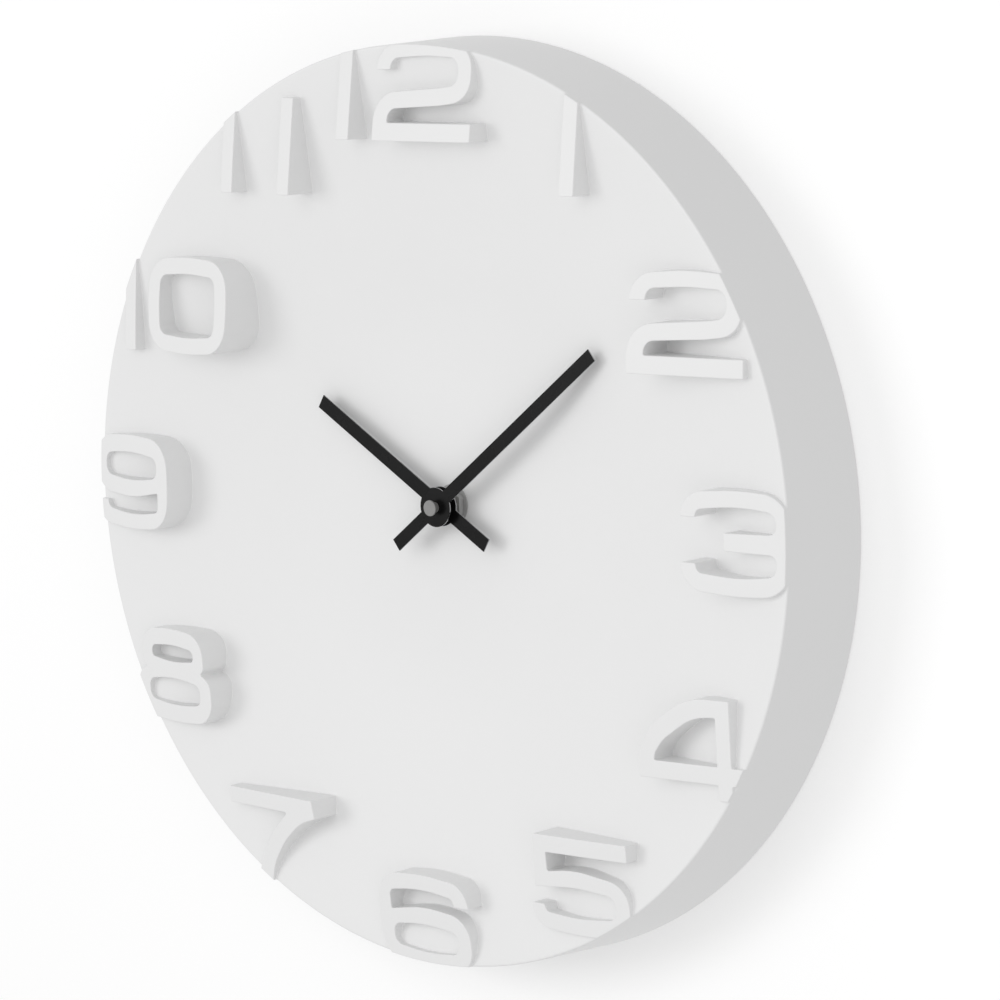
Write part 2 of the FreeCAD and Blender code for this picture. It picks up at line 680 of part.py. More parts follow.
CENTRE = (0.0, 0.0)
THIRD_SPACING = spacing("seconds_pinion", "third_wheel", THIRD_MODULE)
CENTRE_MODULE = THIRD_SPACING / spacing("third_pinion", "centre_wheel", 1.0)
THIRD = beside(CENTRE, THIRD_SPACING, THIRD_WAY)
FIFTH = beside(CENTRE, spacing("fifth_pinion", "seconds_wheel", FIFTH_MODULE), FIFTH_WAY)
ROTOR = beside(FIFTH, spacing("rotor_pinion", "fifth_wheel", ROTOR_MODULE), ROTOR_WAY)
MOTION_SPACING = spacing("cannon_pinion", "motion_wheel", CANNON_MODULE)
HOUR_MODULE = MOTION_SPACING / spacing("motion_pinion", "hour_wheel", 1.0)
MOTION = beside(CENTRE, MOTION_SPACING, MOTION_WAY)
SETTING = beside(MOTION, spacing("motion_wheel", "setting_gear", CANNON_MODULE), SETTING_WAY)


def make_train():
    """The going train: rotor, fifth, seconds, third and centre wheels."""
    thin = size("arbor_radius")
    thick = size("wheel_thick")
    back = value(ARBOR_BACK)
    front = value(PLATE_BACK) + 0.5 * size("plate_thick")
    seconds = value(SECONDS_WHEEL)
    third = value(THIRD_WHEEL)
    fifth = value(FIFTH_WHEEL)
    centre = value(CENTRE_WHEEL)
    seconds_phase = 0.0
    pinion_phase = 0.0
    fifth_phase = meshing_phase(seconds_phase, TEETH["seconds_wheel"], TEETH["fifth_pinion"],
                                FIFTH_WAY)
    rotor_phase = meshing_phase(fifth_phase, TEETH["fifth_wheel"], TEETH["rotor_pinion"],
                                ROTOR_WAY)
    third_phase = meshing_phase(pinion_phase, TEETH["seconds_pinion"], TEETH["third_wheel"],
                                THIRD_WAY)
    centre_phase = meshing_phase(third_phase, TEETH["third_pinion"], TEETH["centre_wheel"],
                                 THIRD_WAY + 180)
    shaft_end = centre - 2 * size("gap")
    bore = size("minute_end_radius") + size("fit")
    return [
        arbor("seconds_wheel", CENTRE,
              [(thin, back, shaft_end + 0.5 * thin)],
              [(TEETH["seconds_wheel"], FIFTH_MODULE, seconds_phase, seconds, seconds + thick),
               (TEETH["seconds_pinion"], THIRD_MODULE, pinion_phase, seconds + thick,
                third + thick + OVERRUN)]),
        arbor("third_wheel", THIRD,
              [(thin, back, front)],
              [(TEETH["third_wheel"], THIRD_MODULE, third_phase, third, third + thick),
               (TEETH["third_pinion"], CENTRE_MODULE, third_phase, third + thick,
                centre + thick + OVERRUN)]),
        arbor("fifth_wheel", FIFTH,
              [(thin, back, front), (2 * thin, seconds + thick + OVERRUN, fifth)],
              [(TEETH["fifth_pinion"], FIFTH_MODULE, fifth_phase, seconds - OVERRUN,
                seconds + thick + OVERRUN),
               (TEETH["fifth_wheel"], ROTOR_MODULE, fifth_phase, fifth, fifth + thick)]),
        arbor("centre_wheel", CENTRE,
              [(2.2 * size("minute_end_radius"), centre, centre + thick)],
              [(TEETH["centre_wheel"], CENTRE_MODULE, centre_phase, centre, centre + thick)],
              [(bore, centre - 1, centre + thick + 1)]),
        arbor("rotor_pinion", ROTOR,
              [(thin, back, front), (2 * thin, value(MAGNET_END), fifth - OVERRUN)],
              [(TEETH["rotor_pinion"], ROTOR_MODULE, rotor_phase, fifth - OVERRUN,
                fifth + thick + OVERRUN)]),
        arbor("rotor_magnet", ROTOR,
              [(size("magnet_radius"), value(MAGNET_BACK), value(MAGNET_END))], [],
              [(thin + 0.5 * size("fit"), value(MAGNET_BACK) - 1, value(MAGNET_END) + 1)]),
    ]


def make_motion_work():
    """Cannon pinion, motion wheel, hour wheel and setting knob."""
    fit = size("fit")
    thin = size("arbor_radius")
    cannon = value(CANNON)
    cannon_end = cannon + value(CANNON_LONG)
    hour = value(HOUR_WHEEL)
    thick = size("wheel_thick")
    minute_radius = size("minute_shaft_radius")
    minute_end = size("minute_end_radius")
    centre = value(CENTRE_WHEEL)
    clutch_end = centre + thick + size("gap")
    hand = value(MINUTE_HAND)
    tip = value(CAP_BACK) + size("cap_neck") - SHOULDER
    wheel = cannon + OVERRUN
    wheel_end = wheel + MOTION_THICK
    cannon_phase = 0.0
    motion_phase = meshing_phase(cannon_phase, TEETH["cannon_pinion"], TEETH["motion_wheel"],
                                 MOTION_WAY)
    hour_phase = meshing_phase(motion_phase, TEETH["motion_pinion"], TEETH["hour_wheel"],
                               MOTION_WAY + 180)
    setting_phase = meshing_phase(motion_phase, TEETH["motion_wheel"], TEETH["setting_gear"],
                                  SETTING_WAY)
    pipe = value(HOUR_PIPE)
    hour_hand = value(HOUR_HAND)
    hour_tip = hour_hand + size("hand_thick") + SHOULDER
    knob_back = value(CASE_BACK) - size("gap") - size("knob_thick")
    stem = value(STEM_RADIUS)
    return [
        arbor("minute_shaft", CENTRE,
              [(minute_end, centre - 2 * size("gap"), tip), (minute_radius, clutch_end, hand)],
              [(TEETH["cannon_pinion"], CANNON_MODULE, cannon_phase, cannon, cannon_end)],
              [(thin + fit, centre - 1, centre + thick)]),
        arbor("motion_wheel", MOTION,
              [(thin, value(PLATE_BACK) + 0.5 * size("plate_thick"),
                value(CASE_INSIDE) + 0.5 * size("case_wall")),
               (3 * thin, value(PLATE_FRONT) + size("gap"), wheel)],
              [(TEETH["motion_wheel"], CANNON_MODULE, motion_phase, wheel, wheel_end),
               (TEETH["motion_pinion"], HOUR_MODULE, motion_phase, wheel_end,
                hour + thick + OVERRUN)]),
        arbor("hour_wheel", CENTRE,
              [(1.4 * pipe, hour, hour + thick), (pipe, hour, hour_hand),
               (value(HOUR_END), hour, hour_tip)],
              [(TEETH["hour_wheel"], HOUR_MODULE, hour_phase, hour, hour + thick)],
              [(value(HOUR_BORE), hour - 1, hour_tip + 1)]),
        arbor("setting_knob", SETTING,
              [(size("knob_radius"), knob_back, knob_back + size("knob_thick")),
               (stem, knob_back, wheel_end + size("gap"))],
              [(TEETH["setting_gear"], CANNON_MODULE, setting_phase, wheel, wheel_end)]),
    ]


# ---------------------------------------------------------------- movement case

CASE_LEFT = "(-0.5 * Sizes.case_wide)"
CASE_RIGHT = "(0.5 * Sizes.case_wide)"
CASE_LOW = "(-Sizes.case_below)"
CASE_HIGH = "(Sizes.case_tall - Sizes.case_below)"
BAY_LOW = f"({CASE_LOW} + Sizes.case_wall)"
BAY_HIGH = f"({BAY_LOW} + 2 * Sizes.cell_radius + 2 * Sizes.gap)"
TRAIN_LOW = f"({BAY_HIGH} + Sizes.case_wall)"
TRAIN_HIGH = f"({CASE_HIGH} - Sizes.case_wall)"
ROOM_LEFT = f"({CASE_LEFT} + Sizes.case_wall)"
ROOM_RIGHT = f"({CASE_RIGHT} - Sizes.case_wall)"
CELL_UP = f"({BAY_LOW} + Sizes.cell_radius + Sizes.gap)"
CELL_DEPTH = f"({CASE_BACK} + Sizes.cell_radius + 0.1)"
POST_RADIUS = "1.8"
POST_INSET = "2.0"
SCREW_RADIUS = "0.8"
SCREW_HEAD = "1.5"
SCREW_LONG = "3.0"
PILLAR_RADIUS = "1.2"
REST_RADIUS = "0.9"
STEM_RADIUS = "(2.4 * Sizes.arbor_radius)"
STATOR_BACK = f"({COVER_INSIDE} + 1.6)"
STATOR_FRONT = f"({STATOR_BACK} + Sizes.stator_thick)"
MAGNET_BACK = f"({STATOR_BACK} - 0.1)"
MAGNET_END = f"({STATOR_FRONT} + 0.2)"
BOARD_BACK = f"({COVER_INSIDE} + 1.1)"
BOARD_FRONT = f"({BOARD_BACK} + Sizes.board_thick)"

# What stands on the cover, as (across, up) of each post's axis.
PLATE_PILLARS = [("-19", "-12.6"), ("21.5", "-12.6"), ("19.5", "18.2"), ("-10.5", "18.2")]
STATOR_RESTS = [("-24.7", "-6.2"), ("-14", "-7"), ("-24.7", "14")]
BOARD_RESTS = [("13", "1"), ("23", "12.5")]


def corners_of_train():
    """The four corner posts' axes, inside the train's room."""
    left = f"({ROOM_LEFT} + {POST_INSET})"
    right = f"({ROOM_RIGHT} - {POST_INSET})"
    low = f"({TRAIN_LOW} + {POST_INSET})"
    high = f"({TRAIN_HIGH} - {POST_INSET})"
    return [(left, low), (right, low), (left, high), (right, high)]


def pivot_holes(name, places, depth, end):
    """Holes that arbors turn in."""
    return [rod(f"{name}_{i}", "Sizes.arbor_radius + Sizes.fit", depth, end, str(x), str(z))
            for i, (x, z) in enumerate(places)]


def make_case():
    outside = block("case_outside", CASE_LEFT, CASE_RIGHT, CASE_LOW, CASE_HIGH, CASE_BACK,
                    CASE_FRONT)
    room = block("case_room", ROOM_LEFT, ROOM_RIGHT, TRAIN_LOW, TRAIN_HIGH,
                 f"{CASE_BACK} - 1", CASE_INSIDE)
    bay = block("case_bay", ROOM_LEFT, ROOM_RIGHT, BAY_LOW, BAY_HIGH, f"{CASE_BACK} - 1",
                f"{CELL_DEPTH} + Sizes.cell_radius + 0.1")
    hollow = cut("case_hollow", outside, join("case_rooms", [room, bay]))
    posts = [rod(f"case_post_{i}", POST_RADIUS, PLATE_FRONT, f"{CASE_INSIDE} + 0.5", x, z)
             for i, (x, z) in enumerate(corners_of_train())]
    half = "0.5 * Sizes.hanger_wide"
    loop_front = f"{CASE_BACK} + Sizes.hanger_thick"
    loop_top = f"({CASE_HIGH} + Sizes.hanger_tall - {half})"
    strap = block("hanger_strap", f"-{half}", half, f"{CASE_HIGH} - 0.5", loop_top, CASE_BACK,
                  loop_front)
    crown = rod("hanger_crown", half, CASE_BACK, loop_front, "0", loop_top)
    solid = join("case_solid", [hollow, strap, crown] + posts)
    cuts = [rod("case_bushing_hole", "Sizes.bushing_radius + 0.5 * Sizes.fit",
                f"{CASE_INSIDE} - 1", f"{CASE_FRONT} + 1"),
            rod("hanger_eye", "Sizes.hanger_hole", f"{CASE_BACK} - 1", f"{loop_front} + 1",
                "0", loop_top)]
    cuts += [rod(f"case_screw_hole_{i}", f"{SCREW_RADIUS} + Sizes.fit", f"{PLATE_FRONT} - 1",
                 f"{PLATE_FRONT} + {SCREW_LONG} + Sizes.gap", x, z)
             for i, (x, z) in enumerate(corners_of_train())]
    cuts += pivot_holes("case_pivot", [MOTION], f"{CASE_INSIDE} - 1",
                        f"{CASE_INSIDE} + 0.5 * Sizes.case_wall + 0.1")
    return cut("movement_case", solid, join("case_cuts", cuts))


def make_cover():
    """The rear cover, with pillars for the middle plate, the stator and the board."""
    slack = "0.1"
    plate = block("cover_plate", f"{ROOM_LEFT} + {slack}", f"{ROOM_RIGHT} - {slack}",
                  f"{TRAIN_LOW} + {slack}", f"{TRAIN_HIGH} - {slack}", CASE_BACK, COVER_INSIDE)
    inner = f"{COVER_INSIDE} - Sizes.gap"
    posts = [rod(f"cover_pillar_{i}", PILLAR_RADIUS, inner, PLATE_BACK, x, z)
             for i, (x, z) in enumerate(PLATE_PILLARS)]
    posts += [rod(f"stator_rest_{i}", REST_RADIUS, inner, STATOR_BACK, x, z)
              for i, (x, z) in enumerate(STATOR_RESTS)]
    posts += [rod(f"board_rest_{i}", REST_RADIUS, inner, BOARD_BACK, x, z)
              for i, (x, z) in enumerate(BOARD_RESTS)]
    solid = join("cover_solid", [plate] + posts)
    holes = pivot_holes("cover_pivot", [CENTRE, THIRD, FIFTH, ROTOR], f"{ARBOR_BACK} - 0.1",
                        f"{COVER_INSIDE} + 1")
    holes.append(rod("cover_stem_hole", f"{STEM_RADIUS} + Sizes.fit", f"{CASE_BACK} - 1",
                     f"{COVER_INSIDE} + 1", str(SETTING[0]), str(SETTING[1])))
    return cut("movement_cover", solid, join("cover_holes", holes))


def make_middle_plate():
    slack = "0.15"
    plate = block("plate_blank", f"{ROOM_LEFT} + {slack}", f"{ROOM_RIGHT} - {slack}",
                  f"{TRAIN_LOW} + {slack}", f"{TRAIN_HIGH} - {slack}", PLATE_BACK, PLATE_FRONT)
    ends = (f"{PLATE_BACK} - 1", f"{PLATE_FRONT} + 1")
    holes = pivot_holes("plate_pivot", [THIRD, FIFTH, ROTOR, MOTION], *ends)
    holes.append(rod("plate_shaft_hole", HOUR_BORE, *ends))
    holes.append(rod("plate_stem_hole", f"{STEM_RADIUS} + Sizes.fit", *ends,
                     str(SETTING[0]), str(SETTING[1])))
    holes += [rod(f"plate_screw_hole_{i}", f"{SCREW_RADIUS} + Sizes.fit", *ends, x, z)
              for i, (x, z) in enumerate(corners_of_train())]
    return cut("middle_plate", plate, join("plate_holes", holes))


def make_plate_screws():
    """Four screws that hold the middle plate to the case's posts."""
    screws = []
    for i, (x, z) in enumerate(corners_of_train()):
        head_back = f"{PLATE_BACK} - {SCREW_RADIUS}"
        shank = rod(f"screw_shank_{i}", SCREW_RADIUS, head_back,
                    f"{PLATE_FRONT} + {SCREW_LONG}", x, z)
        head = rod(f"screw_head_{i}", SCREW_HEAD, head_back, PLATE_BACK, x, z)
        screws.append(join(f"screw_{i}", [shank, head]))
    group = doc.addObject("Part::Compound", "plate_screws")
    group.Links = screws
    return group


# ---------------------------------------------------------------- motor and electrics


def make_motor():
    """Stator, coil core, bobbin and winding."""
    left = f"({ROOM_LEFT} + 0.5)"
    right = f"({ROTOR[0]} + Sizes.magnet_radius + Sizes.air_gap + 1.7)"
    leg = "2.6"
    low = f"({ROTOR[1]} - 4.6)"
    high = f"({ROTOR[1]} + 5.6)"
    coil_up = "14.0"
    top = f"({coil_up} + 1.2)"
    body = block("stator_body", left, right, low, high, STATOR_BACK, STATOR_FRONT)
    legs = [block("stator_leg_left", left, f"{left} + {leg}", low, top, STATOR_BACK,
                  STATOR_FRONT),
            block("stator_leg_right", f"{right} - {leg}", right, low, top, STATOR_BACK,
                  STATOR_FRONT)]
    eye = rod("stator_eye", "Sizes.magnet_radius + Sizes.air_gap", f"{STATOR_BACK} - 1",
              f"{STATOR_FRONT} + 1", str(ROTOR[0]), str(ROTOR[1]))
    stator = cut("stator", join("stator_blank", [body] + legs), eye)
    core_thick = "1.0"
    core_front = f"({STATOR_FRONT} + {core_thick})"
    core = block("coil_core", left, right, f"{coil_up} - 1.2", top, STATOR_FRONT, core_front)
    axis = f"({STATOR_FRONT} + 0.5 * {core_thick})"
    start = f"({left} + {leg} + 0.2)"
    stop = f"({right} - {leg} - 0.2)"
    flange = "0.6"
    tunnel = block("bobbin_tunnel", f"{start} - 1", f"{stop} + 1", f"{coil_up} - 1.25",
                   f"{coil_up} + 1.25", f"{STATOR_FRONT} - 0.05", f"{core_front} + 0.05")
    reel = [lying("bobbin_hub", "1.7", start, stop, coil_up, axis),
            lying("bobbin_end_left", "Sizes.bobbin_radius", start, f"{start} + {flange}",
                  coil_up, axis),
            lying("bobbin_end_right", "Sizes.bobbin_radius", f"{stop} - {flange}", stop,
                  coil_up, axis)]
    bobbin = cut("coil_bobbin", join("bobbin_reel", reel), tunnel)
    winding = cut("coil_winding",
                  lying("winding_outside", "Sizes.bobbin_radius - 0.2", f"{start} + {flange}",
                        f"{stop} - {flange}", coil_up, axis),
                  lying("winding_inside", "1.7", f"{start} - 1", f"{stop} + 1", coil_up, axis))
    return [stator, core, bobbin, winding]


def lying(name, radius, left, right, up, depth):
    """A cylinder that lies along X."""
    item = doc.addObject("Part::Cylinder", name)
    item.setExpression("Radius", radius)
    item.setExpression("Height", f"({right}) - ({left})")
    item.Placement = Placement(Vector(), Rotation(Vector(0, 1, 0), 90))
    item.setExpression("Placement.Base.x", left)
    item.setExpression("Placement.Base.y", f"-({depth})")
    item.setExpression("Placement.Base.z", up)
    return item


def make_electronics():
    """Circuit board with its chip and quartz crystal."""
    board = block("circuit_board", "11.5", f"{ROOM_RIGHT} - 0.8", "-0.6", "14.6", BOARD_BACK,
                  BOARD_FRONT)
    chip = rod("circuit_chip", "2.6", BOARD_FRONT, f"{BOARD_FRONT} + 0.9", "16", "9")
    can = lying("quartz_crystal", "1.0", "16.5", "23.0", "2.2", f"{BOARD_FRONT} + 1.0")
    return [board, chip, can]


def make_battery():
    left = f"(-0.5 * (Sizes.cell_long + Sizes.button_long))"
    right = f"({left} + Sizes.cell_long)"
    can = lying("cell_can", "Sizes.cell_radius", left, right, CELL_UP, CELL_DEPTH)
    button = lying("cell_button", "Sizes.button_radius", right,
                   f"{right} + Sizes.button_long", CELL_UP, CELL_DEPTH)
    battery = join("battery", [can, button])
    tip = f"({right} + Sizes.button_long)"
    low = f"{CELL_UP} - 4"
    high = f"{CELL_UP} + 4"
    back = f"{CELL_DEPTH} - 4"
    front = f"{CELL_DEPTH} + 4"
    plus_plate = block("plus_plate", f"{ROOM_RIGHT} - Sizes.contact_thick", ROOM_RIGHT, low,
                       high, back, front)
    plus_bump = lying("plus_bump", "2.2", tip, f"{ROOM_RIGHT} - 0.5 * Sizes.contact_thick",
                      CELL_UP, CELL_DEPTH)
    minus_plate = block("minus_plate", ROOM_LEFT, f"{ROOM_LEFT} + Sizes.contact_thick", low,
                        high, back, front)
    minus_bump = lying("minus_bump", "2.8", f"{ROOM_LEFT} + 0.5 * Sizes.contact_thick", left,
                       CELL_UP, CELL_DEPTH)
    return [battery, join("contact_positive", [plus_plate, plus_bump]),
            join("contact_negative", [minus_plate, minus_bump])]


# ---------------------------------------------------------------- assembly

nodes = [
    make_dial_shell(),
    make_hand("hour_hand", "Sizes.hour_reach", "Sizes.hour_tail", "Sizes.hour_wide",
              f"{HOUR_END} + 0.5 * Sizes.fit", HOUR_HAND, "Sizes.hour_angle"),
    make_hand("minute_hand", "Sizes.minute_reach", "Sizes.minute_tail", "Sizes.minute_wide",
              "Sizes.minute_end_radius + 0.5 * Sizes.fit", MINUTE_HAND, "Sizes.minute_angle"),
    make_cap_nut(),
    make_bushing(),
    make_bushing_nut(),
    ring("steel_washer", "Sizes.washer_radius", "Sizes.bushing_radius + Sizes.fit", DIAL,
         NUT_BACK),
    ring("rubber_washer", "Sizes.rubber_radius", "Sizes.bushing_radius + Sizes.fit",
         CASE_FRONT, DIAL_BACK),
    make_case(),
    make_cover(),
    make_middle_plate(),
    make_plate_screws(),
]
nodes += make_train()
nodes += make_motion_work()
nodes += make_motor()
nodes += make_electronics()
nodes += make_battery()

doc.recompute()

for item in doc.Objects:
    if "Invalid" in item.State or "Error" in item.State:
        raise RuntimeError(f"{item.Name} failed: {item.State}")

os.makedirs("parts", exist_ok=True)
for item in nodes:
    item.Label = item.Name
    if item.Shape.isNull() or not item.Shape.isValid() or not item.Shape.Solids:
        raise RuntimeError(f"{item.Label} has no valid solid")
    item.Shape.exportStep(f"parts/{item.Label}.step")
    print(f"{item.Label}: {len(item.Shape.Solids)} solids, {item.Shape.Volume:.1f} mm3")
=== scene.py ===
"""Analogue wall clock with a dished white dial, raised numerals and black bar hands.

The clock hangs on a wall in the plane y = 0 and faces -Y. The arbor is the Y axis.
Lengths in the sections about numerals, dial shell and setting knob are in millimetres,
and "depth" there is the distance out from the wall, as in the CAD part. Everything else
is in metres.
"""

import math

import bmesh
import bpy
import numpy as np
from mathutils import Matrix, Vector
from mathutils.geometry import delaunay_2d_cdt, intersect_point_line
from mathutils.kdtree import KDTree


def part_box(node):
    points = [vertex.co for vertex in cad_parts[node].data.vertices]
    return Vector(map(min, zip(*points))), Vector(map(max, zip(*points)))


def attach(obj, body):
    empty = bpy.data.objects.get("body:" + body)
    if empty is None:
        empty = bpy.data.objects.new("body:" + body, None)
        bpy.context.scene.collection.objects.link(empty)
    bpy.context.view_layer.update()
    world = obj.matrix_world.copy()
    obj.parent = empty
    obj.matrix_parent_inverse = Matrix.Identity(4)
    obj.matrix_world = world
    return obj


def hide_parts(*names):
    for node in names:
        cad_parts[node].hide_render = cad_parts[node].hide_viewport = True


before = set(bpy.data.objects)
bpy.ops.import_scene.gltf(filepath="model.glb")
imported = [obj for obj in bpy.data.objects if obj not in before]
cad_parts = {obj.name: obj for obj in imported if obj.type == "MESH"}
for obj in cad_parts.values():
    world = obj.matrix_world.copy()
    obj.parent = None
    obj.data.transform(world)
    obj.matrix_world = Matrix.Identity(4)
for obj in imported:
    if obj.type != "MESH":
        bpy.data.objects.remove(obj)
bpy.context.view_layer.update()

MM = 0.001

# ---------------------------------------------------------------- camera

CAMERA_AZIMUTH = math.radians(41.8466)
CAMERA_ELEVATION = math.radians(7.7344)
CAMERA_ROLL = math.radians(-1.2001)
CAMERA_DISTANCE = 1.85987
CAMERA_TARGET = Vector((0.0045935, 0.0, -0.0007147))
SENSOR = 36.0
FOCAL_SHARE = 4.23873  # focal length in widths of the picture


def make_camera():
    """The camera of the main picture."""
    bpy.context.scene.view_settings.view_transform = "Standard"
    data = bpy.data.cameras.new("camera")
    data.sensor_width = SENSOR
    data.lens = SENSOR * FOCAL_SHARE
    data.clip_start = 0.05
    data.clip_end = 20
    camera = bpy.data.objects.new("camera", data)
    bpy.context.scene.collection.objects.link(camera)
    level = math.cos(CAMERA_ELEVATION)
    back = Vector((math.sin(CAMERA_AZIMUTH) * level, -math.cos(CAMERA_AZIMUTH) * level,
                   math.sin(CAMERA_ELEVATION)))
    right = Vector((0, 0, 1)).cross(back).normalized()
    up = back.cross(right)
    axes = Matrix((right, up, back)).transposed() @ Matrix.Rotation(CAMERA_ROLL, 3, "Z")
    place = Matrix.Translation(CAMERA_TARGET + CAMERA_DISTANCE * back)
    camera.matrix_world = place @ axes.to_4x4()
    bpy.context.scene.camera = camera


# ---------------------------------------------------------------- node helpers


def new_material(name):
    """A new material, its node tree and its Principled shader."""
    material = bpy.data.materials.new(name)
    material.use_nodes = True
    return material, material.node_tree, material.node_tree.nodes["Principled BSDF"]


def add(tree, kind, **settings):
    """A node with its properties set by name, and its inputs by input name."""
    node = tree.nodes.new(kind)
    for key, value in settings.items():
        if key in node.inputs:
            node.inputs[key].default_value = value
        else:
            setattr(node, key, value)
    return node


def set_inputs(shader, **values):
    """Sets the shader's inputs by name, with _ for each space."""
    for key, value in values.items():
        shader.inputs[key.replace("_", " ")].default_value = value


def object_noise(tree, scale, detail=2.0, roughness=0.5, stretch=(1, 1, 1)):
    """Noise over the object's own coordinates, scale in cells per metre."""
    place = add(tree, "ShaderNodeTexCoord")
    mapping = add(tree, "ShaderNodeMapping")
    mapping.inputs["Scale"].default_value = stretch
    noise = add(tree, "ShaderNodeTexNoise", Scale=scale, Detail=detail, Roughness=roughness)
    tree.links.new(place.outputs["Object"], mapping.inputs["Vector"])
    tree.links.new(mapping.outputs["Vector"], noise.inputs["Vector"])
    return noise.outputs["Fac"]


def coordinate(tree, kind, axis):
    """One axis of the object's own places ("Object") or of its normals ("Normal")."""
    place = add(tree, "ShaderNodeTexCoord")
    split = add(tree, "ShaderNodeSeparateXYZ")
    tree.links.new(place.outputs[kind], split.inputs["Vector"])
    return split.outputs[axis]


def between(tree, source, low, high, start=0.0, end=1.0):
    """The source's start to end spread over low to high."""
    spread = add(tree, "ShaderNodeMapRange", **{"From Min": start, "From Max": end,
                                                "To Min": low, "To Max": high})
    tree.links.new(source, spread.inputs["Value"])
    return spread.outputs["Result"]


def shades(tree, source, dark, light):
    """A colour between dark and light, by the source."""
    mix = add(tree, "ShaderNodeMix", data_type="RGBA")
    mix.inputs["A"].default_value = (*dark, 1)
    mix.inputs["B"].default_value = (*light, 1)
    tree.links.new(source, mix.inputs["Factor"])
    return mix.outputs["Result"]


def bands(tree, source, stops):
    """Flat bands of colour along the source, from pairs of a start and a colour."""
    ramp = add(tree, "ShaderNodeValToRGB")
    ramp.color_ramp.interpolation = "CONSTANT"
    steps = ramp.color_ramp.elements
    steps.remove(steps[1])
    steps[0].position, steps[0].color = stops[0][0], (*stops[0][1], 1)
    for start, colour in stops[1:]:
        steps.new(start).color = (*colour, 1)
    tree.links.new(source, ramp.inputs["Fac"])
    return ramp.outputs["Color"]


def bare_where(tree, shader, mask, paint, bare):
    """Gives the shader the paint, and bare metal in the colour bare where mask is 1."""
    both = add(tree, "ShaderNodeMix", data_type="RGBA")
    both.inputs["B"].default_value = (*bare, 1)
    links = tree.links
    links.new(paint, both.inputs["A"])
    links.new(mask, both.inputs["Factor"])
    links.new(both.outputs["Result"], shader.inputs["Base Color"])
    links.new(mask, shader.inputs["Metallic"])


def grain(tree, shader, source, height, distance=MM):
    """Bump from the source."""
    bump = add(tree, "ShaderNodeBump", Strength=height, Distance=distance)
    tree.links.new(source, bump.inputs["Height"])
    tree.links.new(bump.outputs["Normal"], shader.inputs["Normal"])


# ---------------------------------------------------------------- materials

PLASTIC_IOR = 1.46
GLOSS_SPREAD = 0.05  # of a plastic's roughness, either way
METAL_CLOUD = 0.88  # a metal's darkest colour, as a share of its own
METAL_GLOSS = (0.75, 1.3)  # a metal's least and most roughness, as shares of its own
CUT_EDGE = 0.3  # the edges of the hands' sheet face less than this far out of the dial
# The hands' darker and lighter black, spread by a random cloud: partly the paint's own tone,
# partly a painted sheen.
HAND_PAINT_AND_SHEEN = ((0.003, 0.003, 0.003), (0.007, 0.007, 0.0072))
BARE_ALUMINIUM, BARE_STEEL = (0.50, 0.50, 0.51), (0.55, 0.55, 0.54)
BLACK, WHITE = (0, 0, 0), (1, 1, 1)
SLATE, PALE = (0.045, 0.075, 0.11), (0.42, 0.44, 0.45)
BAND = (0.76, 0.82)  # of the battery's length, from its left end
BARE_ENDS = (0.012, 0.972)


def plastic(name, colour, roughness, texture=0.04, spread=0.03, scale=2600.0):
    """Moulded plastic: faint mottling of colour, uneven gloss and a fine moulded grain."""
    material, tree, shader = new_material(name)
    mottle = object_noise(tree, 30.0, 3.0)
    dark = tuple(c * (1 - spread) for c in colour)
    light = tuple(min(c * (1 + spread), 1) for c in colour)
    links = tree.links
    links.new(shades(tree, mottle, dark, light), shader.inputs["Base Color"])
    links.new(between(tree, mottle, roughness - GLOSS_SPREAD, roughness + GLOSS_SPREAD),
              shader.inputs["Roughness"])
    grain(tree, shader, object_noise(tree, scale), texture)
    set_inputs(shader, IOR=PLASTIC_IOR)
    return material


def metal(name, colour, roughness, stretch=(1, 1, 1), texture=0.03, scale=1800.0, shine=1.0):
    """Bare or plated metal with fine tool marks. A dull plating has less shine."""
    material, tree, shader = new_material(name)
    marks = object_noise(tree, scale, 3.0, 0.6, stretch)
    cloud = object_noise(tree, 120.0)
    dark = tuple(c * METAL_CLOUD for c in colour)
    least, most = (roughness * share for share in METAL_GLOSS)
    links = tree.links
    links.new(shades(tree, cloud, dark, colour), shader.inputs["Base Color"])
    links.new(between(tree, marks, least, most), shader.inputs["Roughness"])
    grain(tree, shader, marks, texture)
    set_inputs(shader, Metallic=shine)
    return material


def painted_hands():
    """Punched aluminium sheet, painted black on its flat sides and bare at its cut edges. Its
    black varies in a random cloud: the paint's own uneven tone, and partly a painted sheen.
    """
    material, tree, shader = new_material("hand_paint")
    # A random cloud of darker and lighter black, which is also a painted sheen on the hands,
    # and their uneven gloss.
    cloud = object_noise(tree, 90.0, 3.0)
    paint = shades(tree, cloud, *HAND_PAINT_AND_SHEEN)
    flat = add(tree, "ShaderNodeMath", operation="ABSOLUTE")
    tree.links.new(coordinate(tree, "Normal", "Y"), flat.inputs[0])
    cut = add(tree, "ShaderNodeMath", operation="LESS_THAN")
    cut.inputs[1].default_value = CUT_EDGE
    tree.links.new(flat.outputs["Value"], cut.inputs[0])
    bare_where(tree, shader, cut.outputs["Value"], paint, BARE_ALUMINIUM)
    tree.links.new(between(tree, cloud, 0.22, 0.32), shader.inputs["Roughness"])
    grain(tree, shader, object_noise(tree, 1400.0), 0.05)
    set_inputs(shader, Specular_IOR_Level=0.1)
    return material


